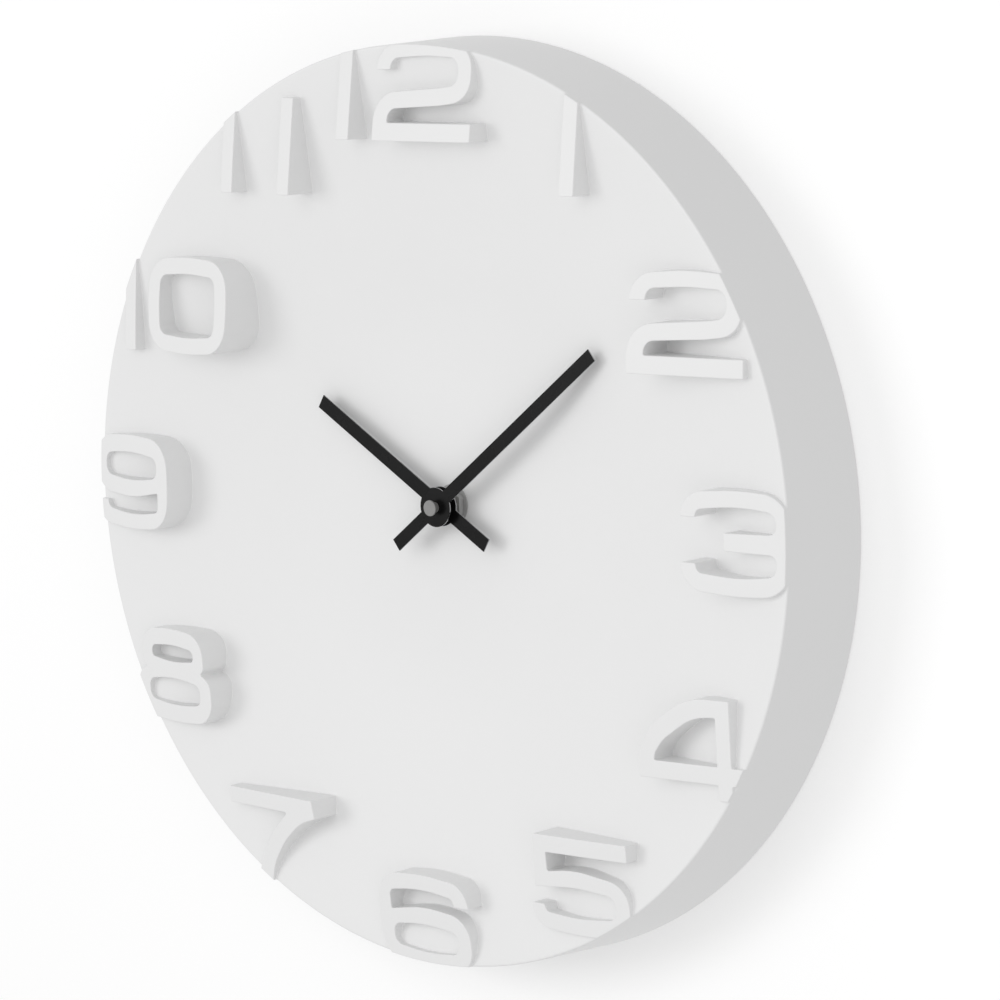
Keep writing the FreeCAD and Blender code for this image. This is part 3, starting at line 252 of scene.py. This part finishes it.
def battery_wrap():
    """A plain battery: slate film with a pale band, and bare steel at both ends."""
    material, tree, shader = new_material("battery_wrap")
    low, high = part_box("battery")
    along = between(tree, coordinate(tree, "Object", "X"), 0.0, 1.0, low.x, high.x)
    film = bands(tree, along, [(0.0, SLATE), (BAND[0], PALE), (BAND[1], SLATE)])
    ends = bands(tree, along, [(0.0, WHITE), (BARE_ENDS[0], BLACK), (BARE_ENDS[1], WHITE)])
    bare_where(tree, shader, ends, film, BARE_STEEL)
    scuffs = object_noise(tree, 400.0, 4.0, 0.6, (1, 6, 6))
    tree.links.new(between(tree, scuffs, 0.22, 0.42), shader.inputs["Roughness"])
    grain(tree, shader, scuffs, 0.04)
    return material


# ---------------------------------------------------------------- meshes

CREASE = math.radians(40)
EVEN_WEIGHT = 80


def link_mesh(name, bm, material):
    """The bmesh as an object of the scene, shaded smooth but for its creases."""
    bmesh.ops.recalc_face_normals(bm, faces=bm.faces)
    for edge in bm.edges:
        edge.smooth = edge.calc_face_angle(0) < CREASE
    mesh = bpy.data.meshes.new(name)
    bm.to_mesh(mesh)
    bm.free()
    mesh.polygons.foreach_set("use_smooth", [True] * len(mesh.polygons))
    mesh.materials.append(material)
    item = bpy.data.objects.new(name, mesh)
    bpy.context.scene.collection.objects.link(item)
    return item


def even_normals(item):
    """Lets the large faces rule the shading of the small ones beside them."""
    even = item.modifiers.new("even_normals", "WEIGHTED_NORMAL")
    even.weight = EVEN_WEIGHT
    return even


# ---------------------------------------------------------------- numeral outlines

# Each outline is a ring of corners (across, up, corner radius), drawn for digits that
# are DRAWN_TALL high and stand on up = 0. The first ring is the outside, the others
# are counters.
DRAWN_TALL = 42.3
SIX_WIDE = 53.6

SIX = [
    [(53.8, 30.6, 0.4), (51.4, 41.0, 10), (28, 43.2, 90), (1.4, 41.2, 14), (-0.1, 21, 90),
     (1.0, 0.9, 14), (27, -0.8, 120), (53.2, 0.9, 12), (53.2, 25.9, 12), (27, 28.5, 60),
     (7.6, 25.0, 0.8), (7.8, 33.9, 3), (27, 36.6, 80), (44.4, 34.2, 3), (45.6, 30.6, 0.4)],
    [(8.0, 18.3, 4.4), (27, 20.7, 80), (45.8, 18.5, 4.4), (45.8, 8.8, 4.4), (27, 7.0, 90),
     (8.0, 9.2, 4.4)],
]

DIGITS = {
    "0": [
        [(28, 43.1, 120), (55.0, 41.4, 14), (56.1, 21.15, 90), (55.0, 0.9, 14),
         (28, -0.8, 120), (1.0, 0.9, 14), (-0.1, 21.15, 90), (1.0, 41.4, 14)],
        [(28, 35.6, 100), (47.2, 34.3, 5), (48.1, 21.15, 80), (47.2, 8.0, 5),
         (28, 6.6, 100), (8.8, 8.0, 5), (7.9, 21.15, 80), (8.8, 34.3, 5)],
    ],
    "1": [[(0, 0, 0), (7.5, 0, 0), (7.5, 42.3, 0), (0, 42.3, 0)]],
    "2": [[
        (0, 0, 0), (56, 0, 0), (56, 7.8, 0), (8.3, 7.8, 0.8), (8.3, 13.6, 5),
        (38, 15.2, 60), (54.8, 17.4, 11), (54.8, 41.2, 12), (28, 43.1, 120),
        (1.6, 41.0, 12), (0.4, 30.2, 0.4), (8.3, 30.2, 0.4), (9.4, 35.1, 4.5),
        (28, 36.2, 100), (47.4, 35.3, 5.5), (47.4, 23.9, 5), (38, 22.8, 60), (0, 20.2, 13),
    ]],
    "3": [[
        (0, 31.0, 0.4), (7.0, 31.0, 0.4), (7.8, 34.3, 3), (27, 36.5, 90), (45.0, 34.4, 5),
        (45.0, 25.8, 3.5), (20.5, 25.3, 0.4), (20.5, 17.9, 0.4), (45.0, 17.4, 3.5),
        (45.2, 8.8, 5), (27, 6.7, 90), (7.8, 8.4, 3), (7.0, 12.2, 0.4), (0, 12.2, 0.4),
        (0.8, 1.2, 11), (27, -0.8, 120), (51.4, 0.9, 14), (52.0, 21, 60), (51.4, 41.4, 14),
        (27, 43.1, 120), (0.8, 41.2, 11),
    ]],
    "4": [
        [(0, 6.7, 0), (38.2, 6.7, 0), (38.2, 0, 0), (45.1, 0, 0), (45.1, 6.7, 0),
         (56, 6.7, 0), (56, 14.3, 0), (45.1, 14.3, 0), (45.1, 42.3, 0.8), (24.5, 42.3, 30),
         (6.5, 29.2, 24), (0, 16.5, 9)],
        [(7.4, 14.4, 0.8), (8.3, 17.8, 5), (12.4, 23.4, 18), (27, 34.0, 24),
         (38.2, 34.9, 0.8), (38.2, 14.4, 0.3)],
    ],
    "5": [[
        (3.6, 42.3, 0), (2.4, 18.9, 0.4), (24, 20.6, 80), (44.5, 18.8, 5), (44.5, 8.6, 4.6),
        (24, 6.7, 90), (7.6, 8.2, 2.4), (6.6, 11.4, 0.4), (0, 11.4, 0.4), (1.0, 1.1, 9.5),
        (26, -0.8, 120), (51.9, 0.9, 12), (51.9, 24.4, 11.4),
        (24, 28.4, 50), (9.8, 26.3, 1.0), (9.9, 34.7, 0.4), (52.3, 34.7, 0), (52.3, 42.3, 0),
    ]],
    "6": SIX,
    "7": [[
        (0, 42.3, 0), (0, 34.8, 0), (38.4, 34.8, 0.4), (25.4, 22.6, 60), (17.2, 9.5, 50),
        (14.4, 0, 0), (23.7, 0, 0), (25.8, 8.8, 30), (34.5, 20.6, 40), (46.0, 30.6, 30),
        (56.4, 34.0, 0.8), (55.3, 42.3, 0),
    ]],
    "8": [
        [(26.4, 43.3, 90), (48.6, 41.4, 11), (48.6, 25.9, 4), (45.8, 23.7, 0.6),
         (52.6, 20.4, 7), (52.6, 0.9, 12), (26.4, -0.8, 120), (0.2, 0.9, 12),
         (0.2, 20.4, 7), (7.0, 23.7, 0.6), (4.2, 25.9, 4), (4.2, 41.4, 11)],
        [(26.4, 35.7, 70), (41.4, 34.1, 3), (41.4, 29.0, 2.2), (26.4, 27.4, 70),
         (11.4, 29.0, 2.2), (11.4, 34.1, 3)],
        [(26.4, 20.6, 80), (44.7, 18.1, 4.2), (44.7, 9.0, 4.2), (26.4, 6.9, 90),
         (8.1, 9.0, 4.2), (8.1, 18.1, 4.2)],
    ],
    "9": [[(SIX_WIDE - x, DRAWN_TALL - z, r) for x, z, r in ring] for ring in SIX],
}

# Where each digit stands: its left edge and its foot, from the arbor.
LAYOUT = [
    ("1", -39.8, 158.9), ("2", -18.0, 158.9),
    ("1", 87.0, 137.8),
    ("2", 124.0, 66.7),
    ("3", 150.5, -21.2),
    ("4", 126.0, -107.7),
    ("5", 63.5, -174.6),
    ("6", -27.1, -202.7),
    ("7", -119.0, -177.1),
    ("8", -179.0, -108.9),
    ("9", -203.2, -21.2),
    ("1", -179.4, 60.8), ("0", -162.5, 61.6),
    ("1", -112.9, 134.2), ("1", -75.4, 134.2),
]
CORNER_SOFT = 0.6  # the least radius of a numeral's corner
TIGHT_RADIUS = 2.0
TIGHT_TURN = math.radians(18)  # of one step round a corner under that radius
BROAD_TURN = math.radians(9)
OUTLINE_STEP = 2.4
LEAST_STEP = 0.05


def turn_of(corners):
    """1 for a ring that runs anticlockwise, -1 for a clockwise one."""
    area = sum(a[0] * b[1] - b[0] * a[1] for a, b in zip(corners, corners[1:] + corners[:1]))
    return 1 if area > 0 else -1


def inset_ring(corners, distance):
    """The same ring with its sides moved inwards, and each rounding kept parallel."""
    turn = turn_of(corners)
    moved = []
    for i, (x, z, radius) in enumerate(corners):
        here = Vector((x, z))
        first = (here - Vector(corners[i - 1][:2])).normalized()
        second = (Vector(corners[(i + 1) % len(corners)][:2]) - here).normalized()
        bend = turn * first.cross(second)
        inwards = Vector((-first.y - second.y, first.x + second.x)) * turn
        spot = here + inwards * distance / (1 + first.dot(second))
        rounding = radius - distance if bend > 0 else radius + distance
        moved.append((spot.x, spot.y, max(rounding, CORNER_SOFT)))
    return moved


def outline(corners, step, outwards):
    """Points along a ring of (x, z, radius) corners, with the way out of the numeral.

    outwards is 1 for an outside and -1 for a counter.
    """
    side = turn_of(corners) * outwards
    spots = [Vector(corner[:2]) for corner in corners]
    after = [(b - a).normalized() for a, b in zip(spots, spots[1:] + spots[:1])]
    halves = [(-after[i - 1]).angle(after[i]) / 2 for i in range(len(spots))]
    reaches = [corner[2] / math.tan(half) for corner, half in zip(corners, halves)]
    room = [(spots[i - 1] - spots[i]).length / (reaches[i - 1] + reaches[i])
            for i in range(len(spots))]
    arcs = []
    for i, here in enumerate(spots):
        half = halves[i]
        radius = corners[i][2] * min(1, room[i], room[(i + 1) % len(room)])
        before = -after[i - 1]
        start = here + before * radius / math.tan(half)
        centre = here + (before + after[i]).normalized() * radius / math.sin(half)
        sweep = math.pi - 2 * half
        turn_step = TIGHT_TURN if radius < TIGHT_RADIUS else BROAD_TURN
        count = max(math.ceil(sweep / turn_step), math.ceil(radius * sweep / step))
        bend = 1 if before.cross(after[i]) < 0 else -1
        arc = []
        for k in range(count + 1):
            turned = Matrix.Rotation(bend * sweep * k / count, 2)
            along = turned @ -before
            out = Vector((along.y, -along.x)) * side
            arc.append((centre + turned @ (start - centre), out))
        arcs.append(arc)
    pairs = []
    for arc, following in zip(arcs, arcs[1:] + arcs[:1]):
        pairs += arc
        last, out = arc[-1]
        runs = math.ceil((following[0][0] - last).length / step)
        pairs += [(last.lerp(following[0][0], k / runs), out) for k in range(1, runs)]
    kept = []
    for point, out in pairs:
        if not kept or (point - kept[-1][0]).length > LEAST_STEP:
            kept.append((point, out))
    while (kept[0][0] - kept[-1][0]).length <= LEAST_STEP:
        kept.pop()
    return kept


def numeral_outlines(inset):
    """Every outline of the dial, set in by the wall of the hollow numerals or by 0."""
    found = []
    for digit, left, foot in LAYOUT:
        for i, corners in enumerate(DIGITS[digit]):
            outwards = -1 if i else 1
            placed = [(left + x, foot + z, max(r, CORNER_SOFT)) for x, z, r in corners]
            if inset:
                placed = inset_ring(placed, inset * outwards)
            found.append(outline(placed, OUTLINE_STEP, outwards))
    return found


# ---------------------------------------------------------------- dial shell

RIM_DEPTH = 46.0
RIM_RADIUS = 200.0
BACK_FLARE = 2.0
DISH_DEPTH = 20.5
FLAT_RADIUS = 50.0
DISH_BEND = 300.0
SHELL_WALL = 2.5
HOLE_RADIUS = 4.3
FACE_RISE = 1.5
FACE_SLOPE = 0.13
DIGIT_WALL = 2.0
DIAL = RIM_DEPTH - DISH_DEPTH
RUN = RIM_RADIUS - FLAT_RADIUS
RISE = DISH_BEND - DISH_DEPTH
SLOPE = math.asin(DISH_BEND / math.hypot(RUN, RISE)) - math.atan2(RISE, RUN)

RIM_ROUND = 1.2
EDGE_ROUND = 0.4  # of the numerals' edges, at their faces and at the dish
ROUND_ROWS = [1 - math.cos(math.radians(turn)) for turn in (30, 60, 90)]

# The triangles over the dial's plan.
RIM_STEPS = 640
HOLE_STEPS = 48
GRID = 4.0  # between the rings of loose points
FIRST_RING = 2
RIM_MARGIN = 1.0
CLEAR = 1.1  # the least distance from a loose point to an outline
ON_RIM = 0.004  # points this near to the rim are on it
ON_OUTLINE = 1e-3
SAME_POINT = 1e-4
LEAST_GAP = 0.003
NEAREST = 3  # outline points looked at round a spot
SETTLING = 20  # rounds until inner_rim no longer changes

# The ribs round the movement.
RIB_TALL = 4.0
RIB_THICK = 2.0
CASE_FIT = 0.3


def side_radius(depth, inset):
    """The side wall widens a little towards the back."""
    return RIM_RADIUS + BACK_FLARE * (1 - depth / RIM_DEPTH) - inset


def dish_depth(radius, inset):
    """The dial is flat in its centre, then bends, and slopes straight up to the rim."""
    past = radius - FLAT_RADIUS
    if past <= 0:
        return DIAL - inset
    if past <= (DISH_BEND + inset) * math.sin(SLOPE):
        return DIAL + DISH_BEND - math.sqrt((DISH_BEND + inset) ** 2 - past ** 2)
    return RIM_DEPTH - (RIM_RADIUS - radius) * math.tan(SLOPE) - inset / math.cos(SLOPE)


def face_depth(radius, inset):
    """The numerals' faces lie on one shallow cone, above the rim."""
    return RIM_DEPTH + FACE_RISE + FACE_SLOPE * (RIM_RADIUS - radius) - inset


def rounding(away, radius):
    """How far a rounded edge falls from its surface, at a distance from its side."""
    if away >= radius:
        return 0.0
    return radius - math.sqrt(radius ** 2 - (radius - away) ** 2)


def circle(radius, count):
    """Points round the arbor."""
    turns = [2 * math.pi * k / count for k in range(count)]
    return [Vector((radius * math.cos(a), radius * math.sin(a))) for a in turns]


def inside(spots, rings):
    """Which of the spots lie within the rings, by the even-odd rule."""
    hit = np.zeros(len(spots), bool)
    for ring in rings:
        for a, b in zip(ring, ring[1:] + ring[:1]):
            if a.y == b.y:
                continue
            crossed = (a.y > spots[:, 1]) != (b.y > spots[:, 1])
            where = (b.x - a.x) * (spots[:, 1] - a.y) / (b.y - a.y) + a.x
            hit ^= crossed & (spots[:, 0] < where)
    return hit


def distances(spots, rings):
    """How far each spot is from the nearest outline, or 2 * EDGE_ROUND where it is far."""
    stretches = []
    for ring in rings:
        stretches += zip(ring[-1:] + ring[:-1], ring, ring[1:] + ring[:1])
    tree = KDTree(len(stretches))
    for i, (_, here, _) in enumerate(stretches):
        tree.insert((*here, 0), i)
    tree.balance()
    found = []
    for spot in spots:
        least = 2 * EDGE_ROUND
        for _, i, away in tree.find_n((*spot, 0), NEAREST):
            if away > OUTLINE_STEP:
                continue
            before, here, after = stretches[i]
            for end in (before, after):
                nearest, share = intersect_point_line(spot, here, end)
                if 0 <= share <= 1:
                    away = min(away, (spot - nearest).length)
            least = min(least, away)
        found.append(least if least > ON_OUTLINE else 0.0)
    return found


def plan(outlines, rim):
    """Points over the dial's plan, and its triangles with whether each is a numeral's."""
    loops = [circle(rim, RIM_STEPS), circle(HOLE_RADIUS, HOLE_STEPS)]
    for radius in (RIM_ROUND, EDGE_ROUND):
        loops += [circle(rim - row * radius, RIM_STEPS) for row in ROUND_ROWS]
    offsets = [side * row * EDGE_ROUND for side in (-1, 1) for row in ROUND_ROWS]
    for pairs in outlines:
        loops += [[point + out * offset for point, out in pairs] for offset in [0, *offsets]]
    points, edges = [], []
    for loop in loops:
        start = len(points)
        edges += [(start + i, start + (i + 1) % len(loop)) for i in range(len(loop))]
        points += loop
    near = KDTree(len(points))
    for i, point in enumerate(points):
        near.insert((*point, 0), i)
    near.balance()
    # Loose points between the outlines keep the triangles even.
    for k in range(FIRST_RING, int((rim - RIM_MARGIN) / GRID)):
        for point in circle(k * GRID, math.ceil(2 * math.pi * k)):
            if near.find((*point, 0))[2] > CLEAR:
                points.append(point)
    flat, _, faces, *_ = delaunay_2d_cdt(points, edges, [], 0, SAME_POINT)
    spots = np.array([sum((flat[i] for i in face), Vector((0, 0))) / 3 for face in faces])
    radii = np.hypot(spots[:, 0], spots[:, 1])
    kept = (radii > HOLE_RADIUS) & (radii < rim - ON_RIM)
    rings = [[point for point, _ in pairs] for pairs in outlines]
    tall = inside(spots, rings)
    return flat, distances(flat, rings), [(f, t) for f, t, k in zip(faces, tall, kept) if k]


def skin(bm, outlines, rim, inset, low, high):
    """One side of the moulding: dish, numerals and side wall.

    low and high give the depth of the dish and of the numerals at a radius. Returns the
    open rings at the wall and at the hole.
    """
    flat, away, faces = plan(outlines, rim)
    on_rim = [p.length > rim - ON_RIM for p in flat]
    corners = {}

    def corner(i, depth):
        key = (i, round(depth, 4))
        if key not in corners:
            # Near the rim a point moves with the side wall's draft.
            spot = flat[i]
            past = max(0, (spot.length - rim) / RIM_ROUND + 1)
            draft = side_radius(depth, inset) - rim
            if on_rim[i]:  # the wall's edge at the back is rounded on both its sides
                draft -= rounding(depth, EDGE_ROUND) * (1 if inset == 0 else -1)
            spot = spot * (1 + past * draft / spot.length)
            corners[key] = bm.verts.new((spot.x * MM, -depth * MM, spot.y * MM))
        return corners[key]

    lows, highs = [], []
    for spot, gap in zip(flat, away):
        radius = min(spot.length, rim)
        edge = 0 if radius > rim - ON_RIM else rim - radius
        lows.append(low(radius) + rounding(gap, EDGE_ROUND) - rounding(edge, RIM_ROUND))
        highs.append(high(radius) - rounding(min(gap, edge), EDGE_ROUND))
    beside = {}
    for face, tall in faces:
        levels = highs if tall else lows
        bm.faces.new([corner(i, levels[i]) for i in face])
        for a, b in zip(face, face[1:] + face[:1]):
            beside.setdefault((min(a, b), max(a, b)), []).append(tall)
    wall_ring, hole_ring = set(), set()
    half_way = (low(rim) - RIM_ROUND) / 2
    foot = [row * EDGE_ROUND for row in (0, *ROUND_ROWS)] + [half_way]
    for (a, b), talls in beside.items():
        if len(talls) == 2:
            if talls[0] != talls[1]:
                bm.faces.new([corner(a, lows[a]), corner(b, lows[b]),
                              corner(b, highs[b]), corner(a, highs[a])])
        elif flat[a].length < 2 * HOLE_RADIUS:
            hole_ring |= {corner(a, lows[a]), corner(b, lows[b])}
        else:
            for under, over in zip(foot, foot[1:]):
                bm.faces.new([corner(a, under), corner(b, under), corner(b, over),
                              corner(a, over)])
            # The wall's top row ends at the dish, or at the face of a numeral cut off there.
            levels = highs if talls[0] else lows
            top = [corner(b, foot[-1]), corner(b, levels[b]), corner(a, levels[a]),
                   corner(a, foot[-1])]
            if talls[0] and away[b] == 0:
                top.insert(1, corner(b, lows[b]))
            if talls[0] and away[a] == 0:
                top.insert(-1, corner(a, lows[a]))
            bm.faces.new(top)
            wall_ring |= {corner(a, 0), corner(b, 0)}
    return wall_ring, hole_ring


def around(vertex):
    """The vertex's angle about the arbor."""
    return math.atan2(vertex.co.z, vertex.co.x)


def stitch(bm, one, other):
    """Triangles between two rings about the arbor, from half a turn to half a turn."""
    one, other = sorted(one, key=around), sorted(other, key=around)
    i = j = 0
    while i < len(one) or j < len(other):
        here, there = one[i % len(one)], other[j % len(other)]
        next_i = around(one[i + 1]) if i + 1 < len(one) else math.pi + (i - len(one) + 1)
        next_j = around(other[j + 1]) if j + 1 < len(other) else math.pi + (j - len(other) + 1)
        if j >= len(other) or (i < len(one) and next_i <= next_j):
            bm.faces.new([here, there, one[(i + 1) % len(one)]])
            i += 1
        else:
            bm.faces.new([here, there, other[(j + 1) % len(other)]])
            j += 1


def add_frame(bm, low, high, thick, back, front):
    """The upright ribs round the movement, as one square tube. Corners are (x, z)."""
    rings = []
    for grown in (thick, 0):
        left, right = low[0] - grown, high[0] + grown
        foot, top = low[1] - grown, high[1] + grown
        spots = [(left, foot), (right, foot), (right, top), (left, top)]
        for depth in (back, front):
            rings.append([bm.verts.new((x * MM, -depth * MM, z * MM)) for x, z in spots])
    outer_back, outer_front, inner_back, inner_front = rings
    pairs = [(outer_back, outer_front), (outer_front, inner_front),
             (inner_front, inner_back), (inner_back, outer_back)]
    for a, b in pairs:
        for k in range(4):
            bm.faces.new([a[k], a[(k + 1) % 4], b[(k + 1) % 4], b[k]])


def inner_rim():
    """Radius where the back of the dish meets the inside of the side wall."""
    depth = RIM_DEPTH
    for _ in range(SETTLING):
        depth = dish_depth(side_radius(depth, SHELL_WALL), SHELL_WALL)
    return side_radius(depth, SHELL_WALL)


def make_shell(material):
    """The dial shell: one white moulding, hollow behind the dial and the numerals."""
    bm = bmesh.new()
    front = skin(bm, numeral_outlines(0), RIM_RADIUS, 0,
                 lambda r: dish_depth(r, 0), lambda r: face_depth(r, 0))
    back = skin(bm, numeral_outlines(DIGIT_WALL), inner_rim(), SHELL_WALL,
                lambda r: dish_depth(r, SHELL_WALL), lambda r: face_depth(r, DIGIT_WALL))
    stitch(bm, front[0], back[0])
    stitch(bm, front[1], back[1])
    case = [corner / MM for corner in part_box("movement_case")]
    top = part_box("movement_cover")[1].z / MM + CASE_FIT
    low = (case[0].x - CASE_FIT, case[0].z - CASE_FIT)
    high = (case[1].x + CASE_FIT, top)
    dial_back = DIAL - SHELL_WALL
    add_frame(bm, low, high, RIB_THICK, dial_back - RIB_TALL, DIAL - SHELL_WALL / 2)
    bmesh.ops.remove_doubles(bm, verts=bm.verts, dist=LEAST_GAP * MM)
    open_edges = sum(1 for edge in bm.edges if len(edge.link_faces) != 2)
    print("shell:", len(bm.faces), "faces,", open_edges, "open edges")
    shell = link_mesh("clock_shell", bm, material)
    even_normals(shell).keep_sharp = True
    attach(shell, "clock")
    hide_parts("dial_shell")


# ---------------------------------------------------------------- stage and light

WALL_SIZE = 6.0
WALL_GAP = 0.0005
WALL_GLOW = 0.133
SKY = 0.685

# Square lamps: their angles in degrees from the dial's front, to the right and up, their
# distance from the arbor, their size and their watts.
LAMPS = {
    "key": (-31, 8, 2.6, 1.1, 11.4),
    "front": (5, 20, 2.5, 1.5, 7.0),
    "near": (42, -5, 0.9, 0.6, 0.7),
}


def make_wall():
    """The white wall that the clock hangs on, seen only from its front."""
    bpy.ops.mesh.primitive_plane_add(size=WALL_SIZE, location=(0, WALL_GAP, 0),
                                     rotation=(math.pi / 2, 0, 0))
    wall = bpy.context.object
    wall.name = "wall"
    material, tree, shader = new_material("wall_paint")
    set_inputs(shader, Base_Color=(0.9, 0.9, 0.9, 1), Roughness=0.9, Specular_IOR_Level=0.0,
               Emission_Color=(1, 1, 1, 1), Emission_Strength=WALL_GLOW)
    side = add(tree, "ShaderNodeNewGeometry")
    clear = add(tree, "ShaderNodeBsdfTransparent")
    mix = add(tree, "ShaderNodeMixShader")
    links = tree.links
    links.new(side.outputs["Backfacing"], mix.inputs["Fac"])
    links.new(shader.outputs["BSDF"], mix.inputs[1])
    links.new(clear.outputs["BSDF"], mix.inputs[2])
    links.new(mix.outputs["Shader"], tree.nodes["Material Output"].inputs["Surface"])
    wall.data.materials.append(material)
    for flag in ("diffuse", "glossy", "transmission", "volume_scatter", "shadow"):
        setattr(wall, "visible_" + flag, False)


def make_world():
    """Even light from all round. The camera and all that is glossy see it as plain white."""
    world = bpy.data.worlds.new("studio")
    bpy.context.scene.world = world
    world.use_nodes = True
    tree = world.node_tree
    path = add(tree, "ShaderNodeLightPath")
    seen = add(tree, "ShaderNodeMath", operation="MAXIMUM")
    mirrored = add(tree, "ShaderNodeMath", operation="MAXIMUM")
    tree.links.new(path.outputs["Is Glossy Ray"], mirrored.inputs[0])
    tree.links.new(path.outputs["Is Transmission Ray"], mirrored.inputs[1])
    tree.links.new(path.outputs["Is Camera Ray"], seen.inputs[0])
    tree.links.new(mirrored.outputs["Value"], seen.inputs[1])
    ground = tree.nodes["Background"]
    ground.inputs["Color"].default_value = (1, 1, 1, 1)
    tree.links.new(between(tree, seen.outputs["Value"], SKY, 1.0), ground.inputs["Strength"])


def make_lamps():
    """The lamps, each turned to the arbor."""
    for name, (azimuth, elevation, away, size, watts) in LAMPS.items():
        data = bpy.data.lights.new(name, "AREA")
        data.shape = "SQUARE"
        data.size = size
        data.energy = watts
        lamp = bpy.data.objects.new(name, data)
        bpy.context.scene.collection.objects.link(lamp)
        turn, lift = math.radians(azimuth), math.radians(elevation)
        out = Vector((math.sin(turn) * math.cos(lift), -math.cos(turn) * math.cos(lift),
                      math.sin(lift)))
        lamp.location = away * out
        lamp.rotation_euler = out.to_track_quat("Z", "Y").to_euler()


# ---------------------------------------------------------------- CAD nodes

# How far the edges of each kind of piece are rounded, in millimetres.
EDGE_WIDTHS = {
    "hand_black": 0.06, "steel_nut": 0.15, "brass": 0.12, "rubber_black": 0.2,
    "case_black": 0.25, "battery_can": 0.3, "contact_steel": 0.08,
}
SAME_CORNER = 1e-6  # in metres
FLAT_ANGLE = math.radians(1)
EDGE_ANGLE = math.radians(35)


def soften(node, width):
    """Rounds the sharp edges of a CAD node, which keeps its shape and place."""
    weld = node.modifiers.new("weld", "WELD")
    weld.merge_threshold = SAME_CORNER
    merge = node.modifiers.new("merge_flats", "DECIMATE")
    merge.decimate_type = "DISSOLVE"
    merge.angle_limit = FLAT_ANGLE
    bevel = node.modifiers.new("soft_edges", "BEVEL")
    bevel.width = width * MM
    bevel.segments = 2
    bevel.limit_method = "ANGLE"
    bevel.angle_limit = EDGE_ANGLE
    even_normals(node)


def make_finishes():
    """The materials of the CAD nodes, by slot."""
    return {
        "hand_black": painted_hands(),
        "steel_nut": metal("dull_nickel", (0.26, 0.258, 0.255), 0.42, texture=0.4,
                           scale=2600.0, shine=0.4),
        "contact_steel": metal("nickel", (0.5, 0.5, 0.49), 0.3),
        "brass": metal("plated_brass", (0.44, 0.42, 0.38), 0.35),
        "rubber_black": plastic("rubber", (0.012, 0.012, 0.012), 0.75, texture=0.15,
                                spread=0.1, scale=900.0),
        "case_black": plastic("case_plastic", (0.018, 0.018, 0.019), 0.5, texture=0.12,
                              spread=0.12, scale=1500.0),
        "train_plastic": plastic("train_plastic", (0.72, 0.70, 0.64), 0.35),
        "magnet_iron": metal("magnet", (0.10, 0.10, 0.105), 0.5),
        "motor_steel": metal("motor_steel", (0.42, 0.42, 0.43), 0.38),
        "copper": metal("copper_wire", (0.80, 0.33, 0.17), 0.35, (30, 1, 1), 0.2),
        "board_green": plastic("board_lacquer", (0.02, 0.16, 0.06), 0.35),
        "chip_black": plastic("chip_resin", (0.012, 0.012, 0.012), 0.3),
        "battery_can": battery_wrap(),
    }


def finish_nodes(finishes):
    """Gives each CAD node its material by its slot or name, and softens its edges a little."""
    zinc = metal("zinc", (0.48, 0.48, 0.475), 0.45, texture=0.6, scale=1600.0, shine=0.35)
    of_node = {"steel_washer": zinc, "bushing_nut": zinc}
    for name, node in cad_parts.items():
        if node.hide_render:
            continue
        slot = node.data.materials[0].name.split(".")[0]
        node.data.materials.clear()
        node.data.materials.append(of_node.get(name, finishes[slot]))
        if slot in EDGE_WIDTHS:
            soften(node, EDGE_WIDTHS[slot])


# ---------------------------------------------------------------- setting knob

KNOB_RIBS = 40
RIB_STEPS = 6  # round one rib of the grip
RIB_RISE = 0.3  # over the knob's own side
GRIP_LIP = 0.5  # the ring's back over the knob's back
GRIP_INNER = 0.78  # of the knob's radius
GRIP_LONG = 3.6  # along the knob's side
GRIP_ROUND = 0.25  # the ring's slanted edges


def make_knob_grip(material):
    """The ribbed ring of the setting knob, with a lip round the knob's back."""
    low, high = (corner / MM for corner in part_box("setting_knob"))
    centre_x, centre_z = (low.x + high.x) / 2, (low.z + high.z) / 2
    radius = (high.x - low.x) / 2
    inner = GRIP_INNER * radius
    back = -high.y - GRIP_LIP
    front = -high.y + GRIP_LONG
    rows = [  # radius, depth, and the share of the ribs' rise
        (inner, back + GRIP_ROUND, 0.0), (inner + GRIP_ROUND, back, 0.0),
        (radius - GRIP_ROUND, back, 0.5), (radius, back + GRIP_ROUND, 1.0),
        (radius, front - GRIP_ROUND, 1.0), (radius - GRIP_ROUND, front, 0.5),
        (inner, front, 0.0),
    ]
    count = KNOB_RIBS * RIB_STEPS
    bm = bmesh.new()
    rings = []
    for ring_radius, depth, share in rows:
        ring = []
        for k in range(count):
            turn = 2 * math.pi * k / count
            rise = share * RIB_RISE * (1 - abs(math.cos(KNOB_RIBS * turn / 2)))
            x = centre_x + (ring_radius + rise) * math.cos(turn)
            z = centre_z + (ring_radius + rise) * math.sin(turn)
            ring.append(bm.verts.new((x * MM, -depth * MM, z * MM)))
        rings.append(ring)
    for one, other in zip(rings, rings[1:] + rings[:1]):
        for k in range(count):
            after = (k + 1) % count
            bm.faces.new([one[k], one[after], other[after], other[k]])
    grip = link_mesh("knob_grip", bm, material)
    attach(grip, "setting")


# ---------------------------------------------------------------- making it

make_camera()
make_wall()
make_world()
make_lamps()
make_shell(plastic("shell_plastic", (0.80, 0.80, 0.80), 0.45, texture=0.03, spread=0.01))
finishes = make_finishes()
finish_nodes(finishes)
make_knob_grip(finishes["case_black"])
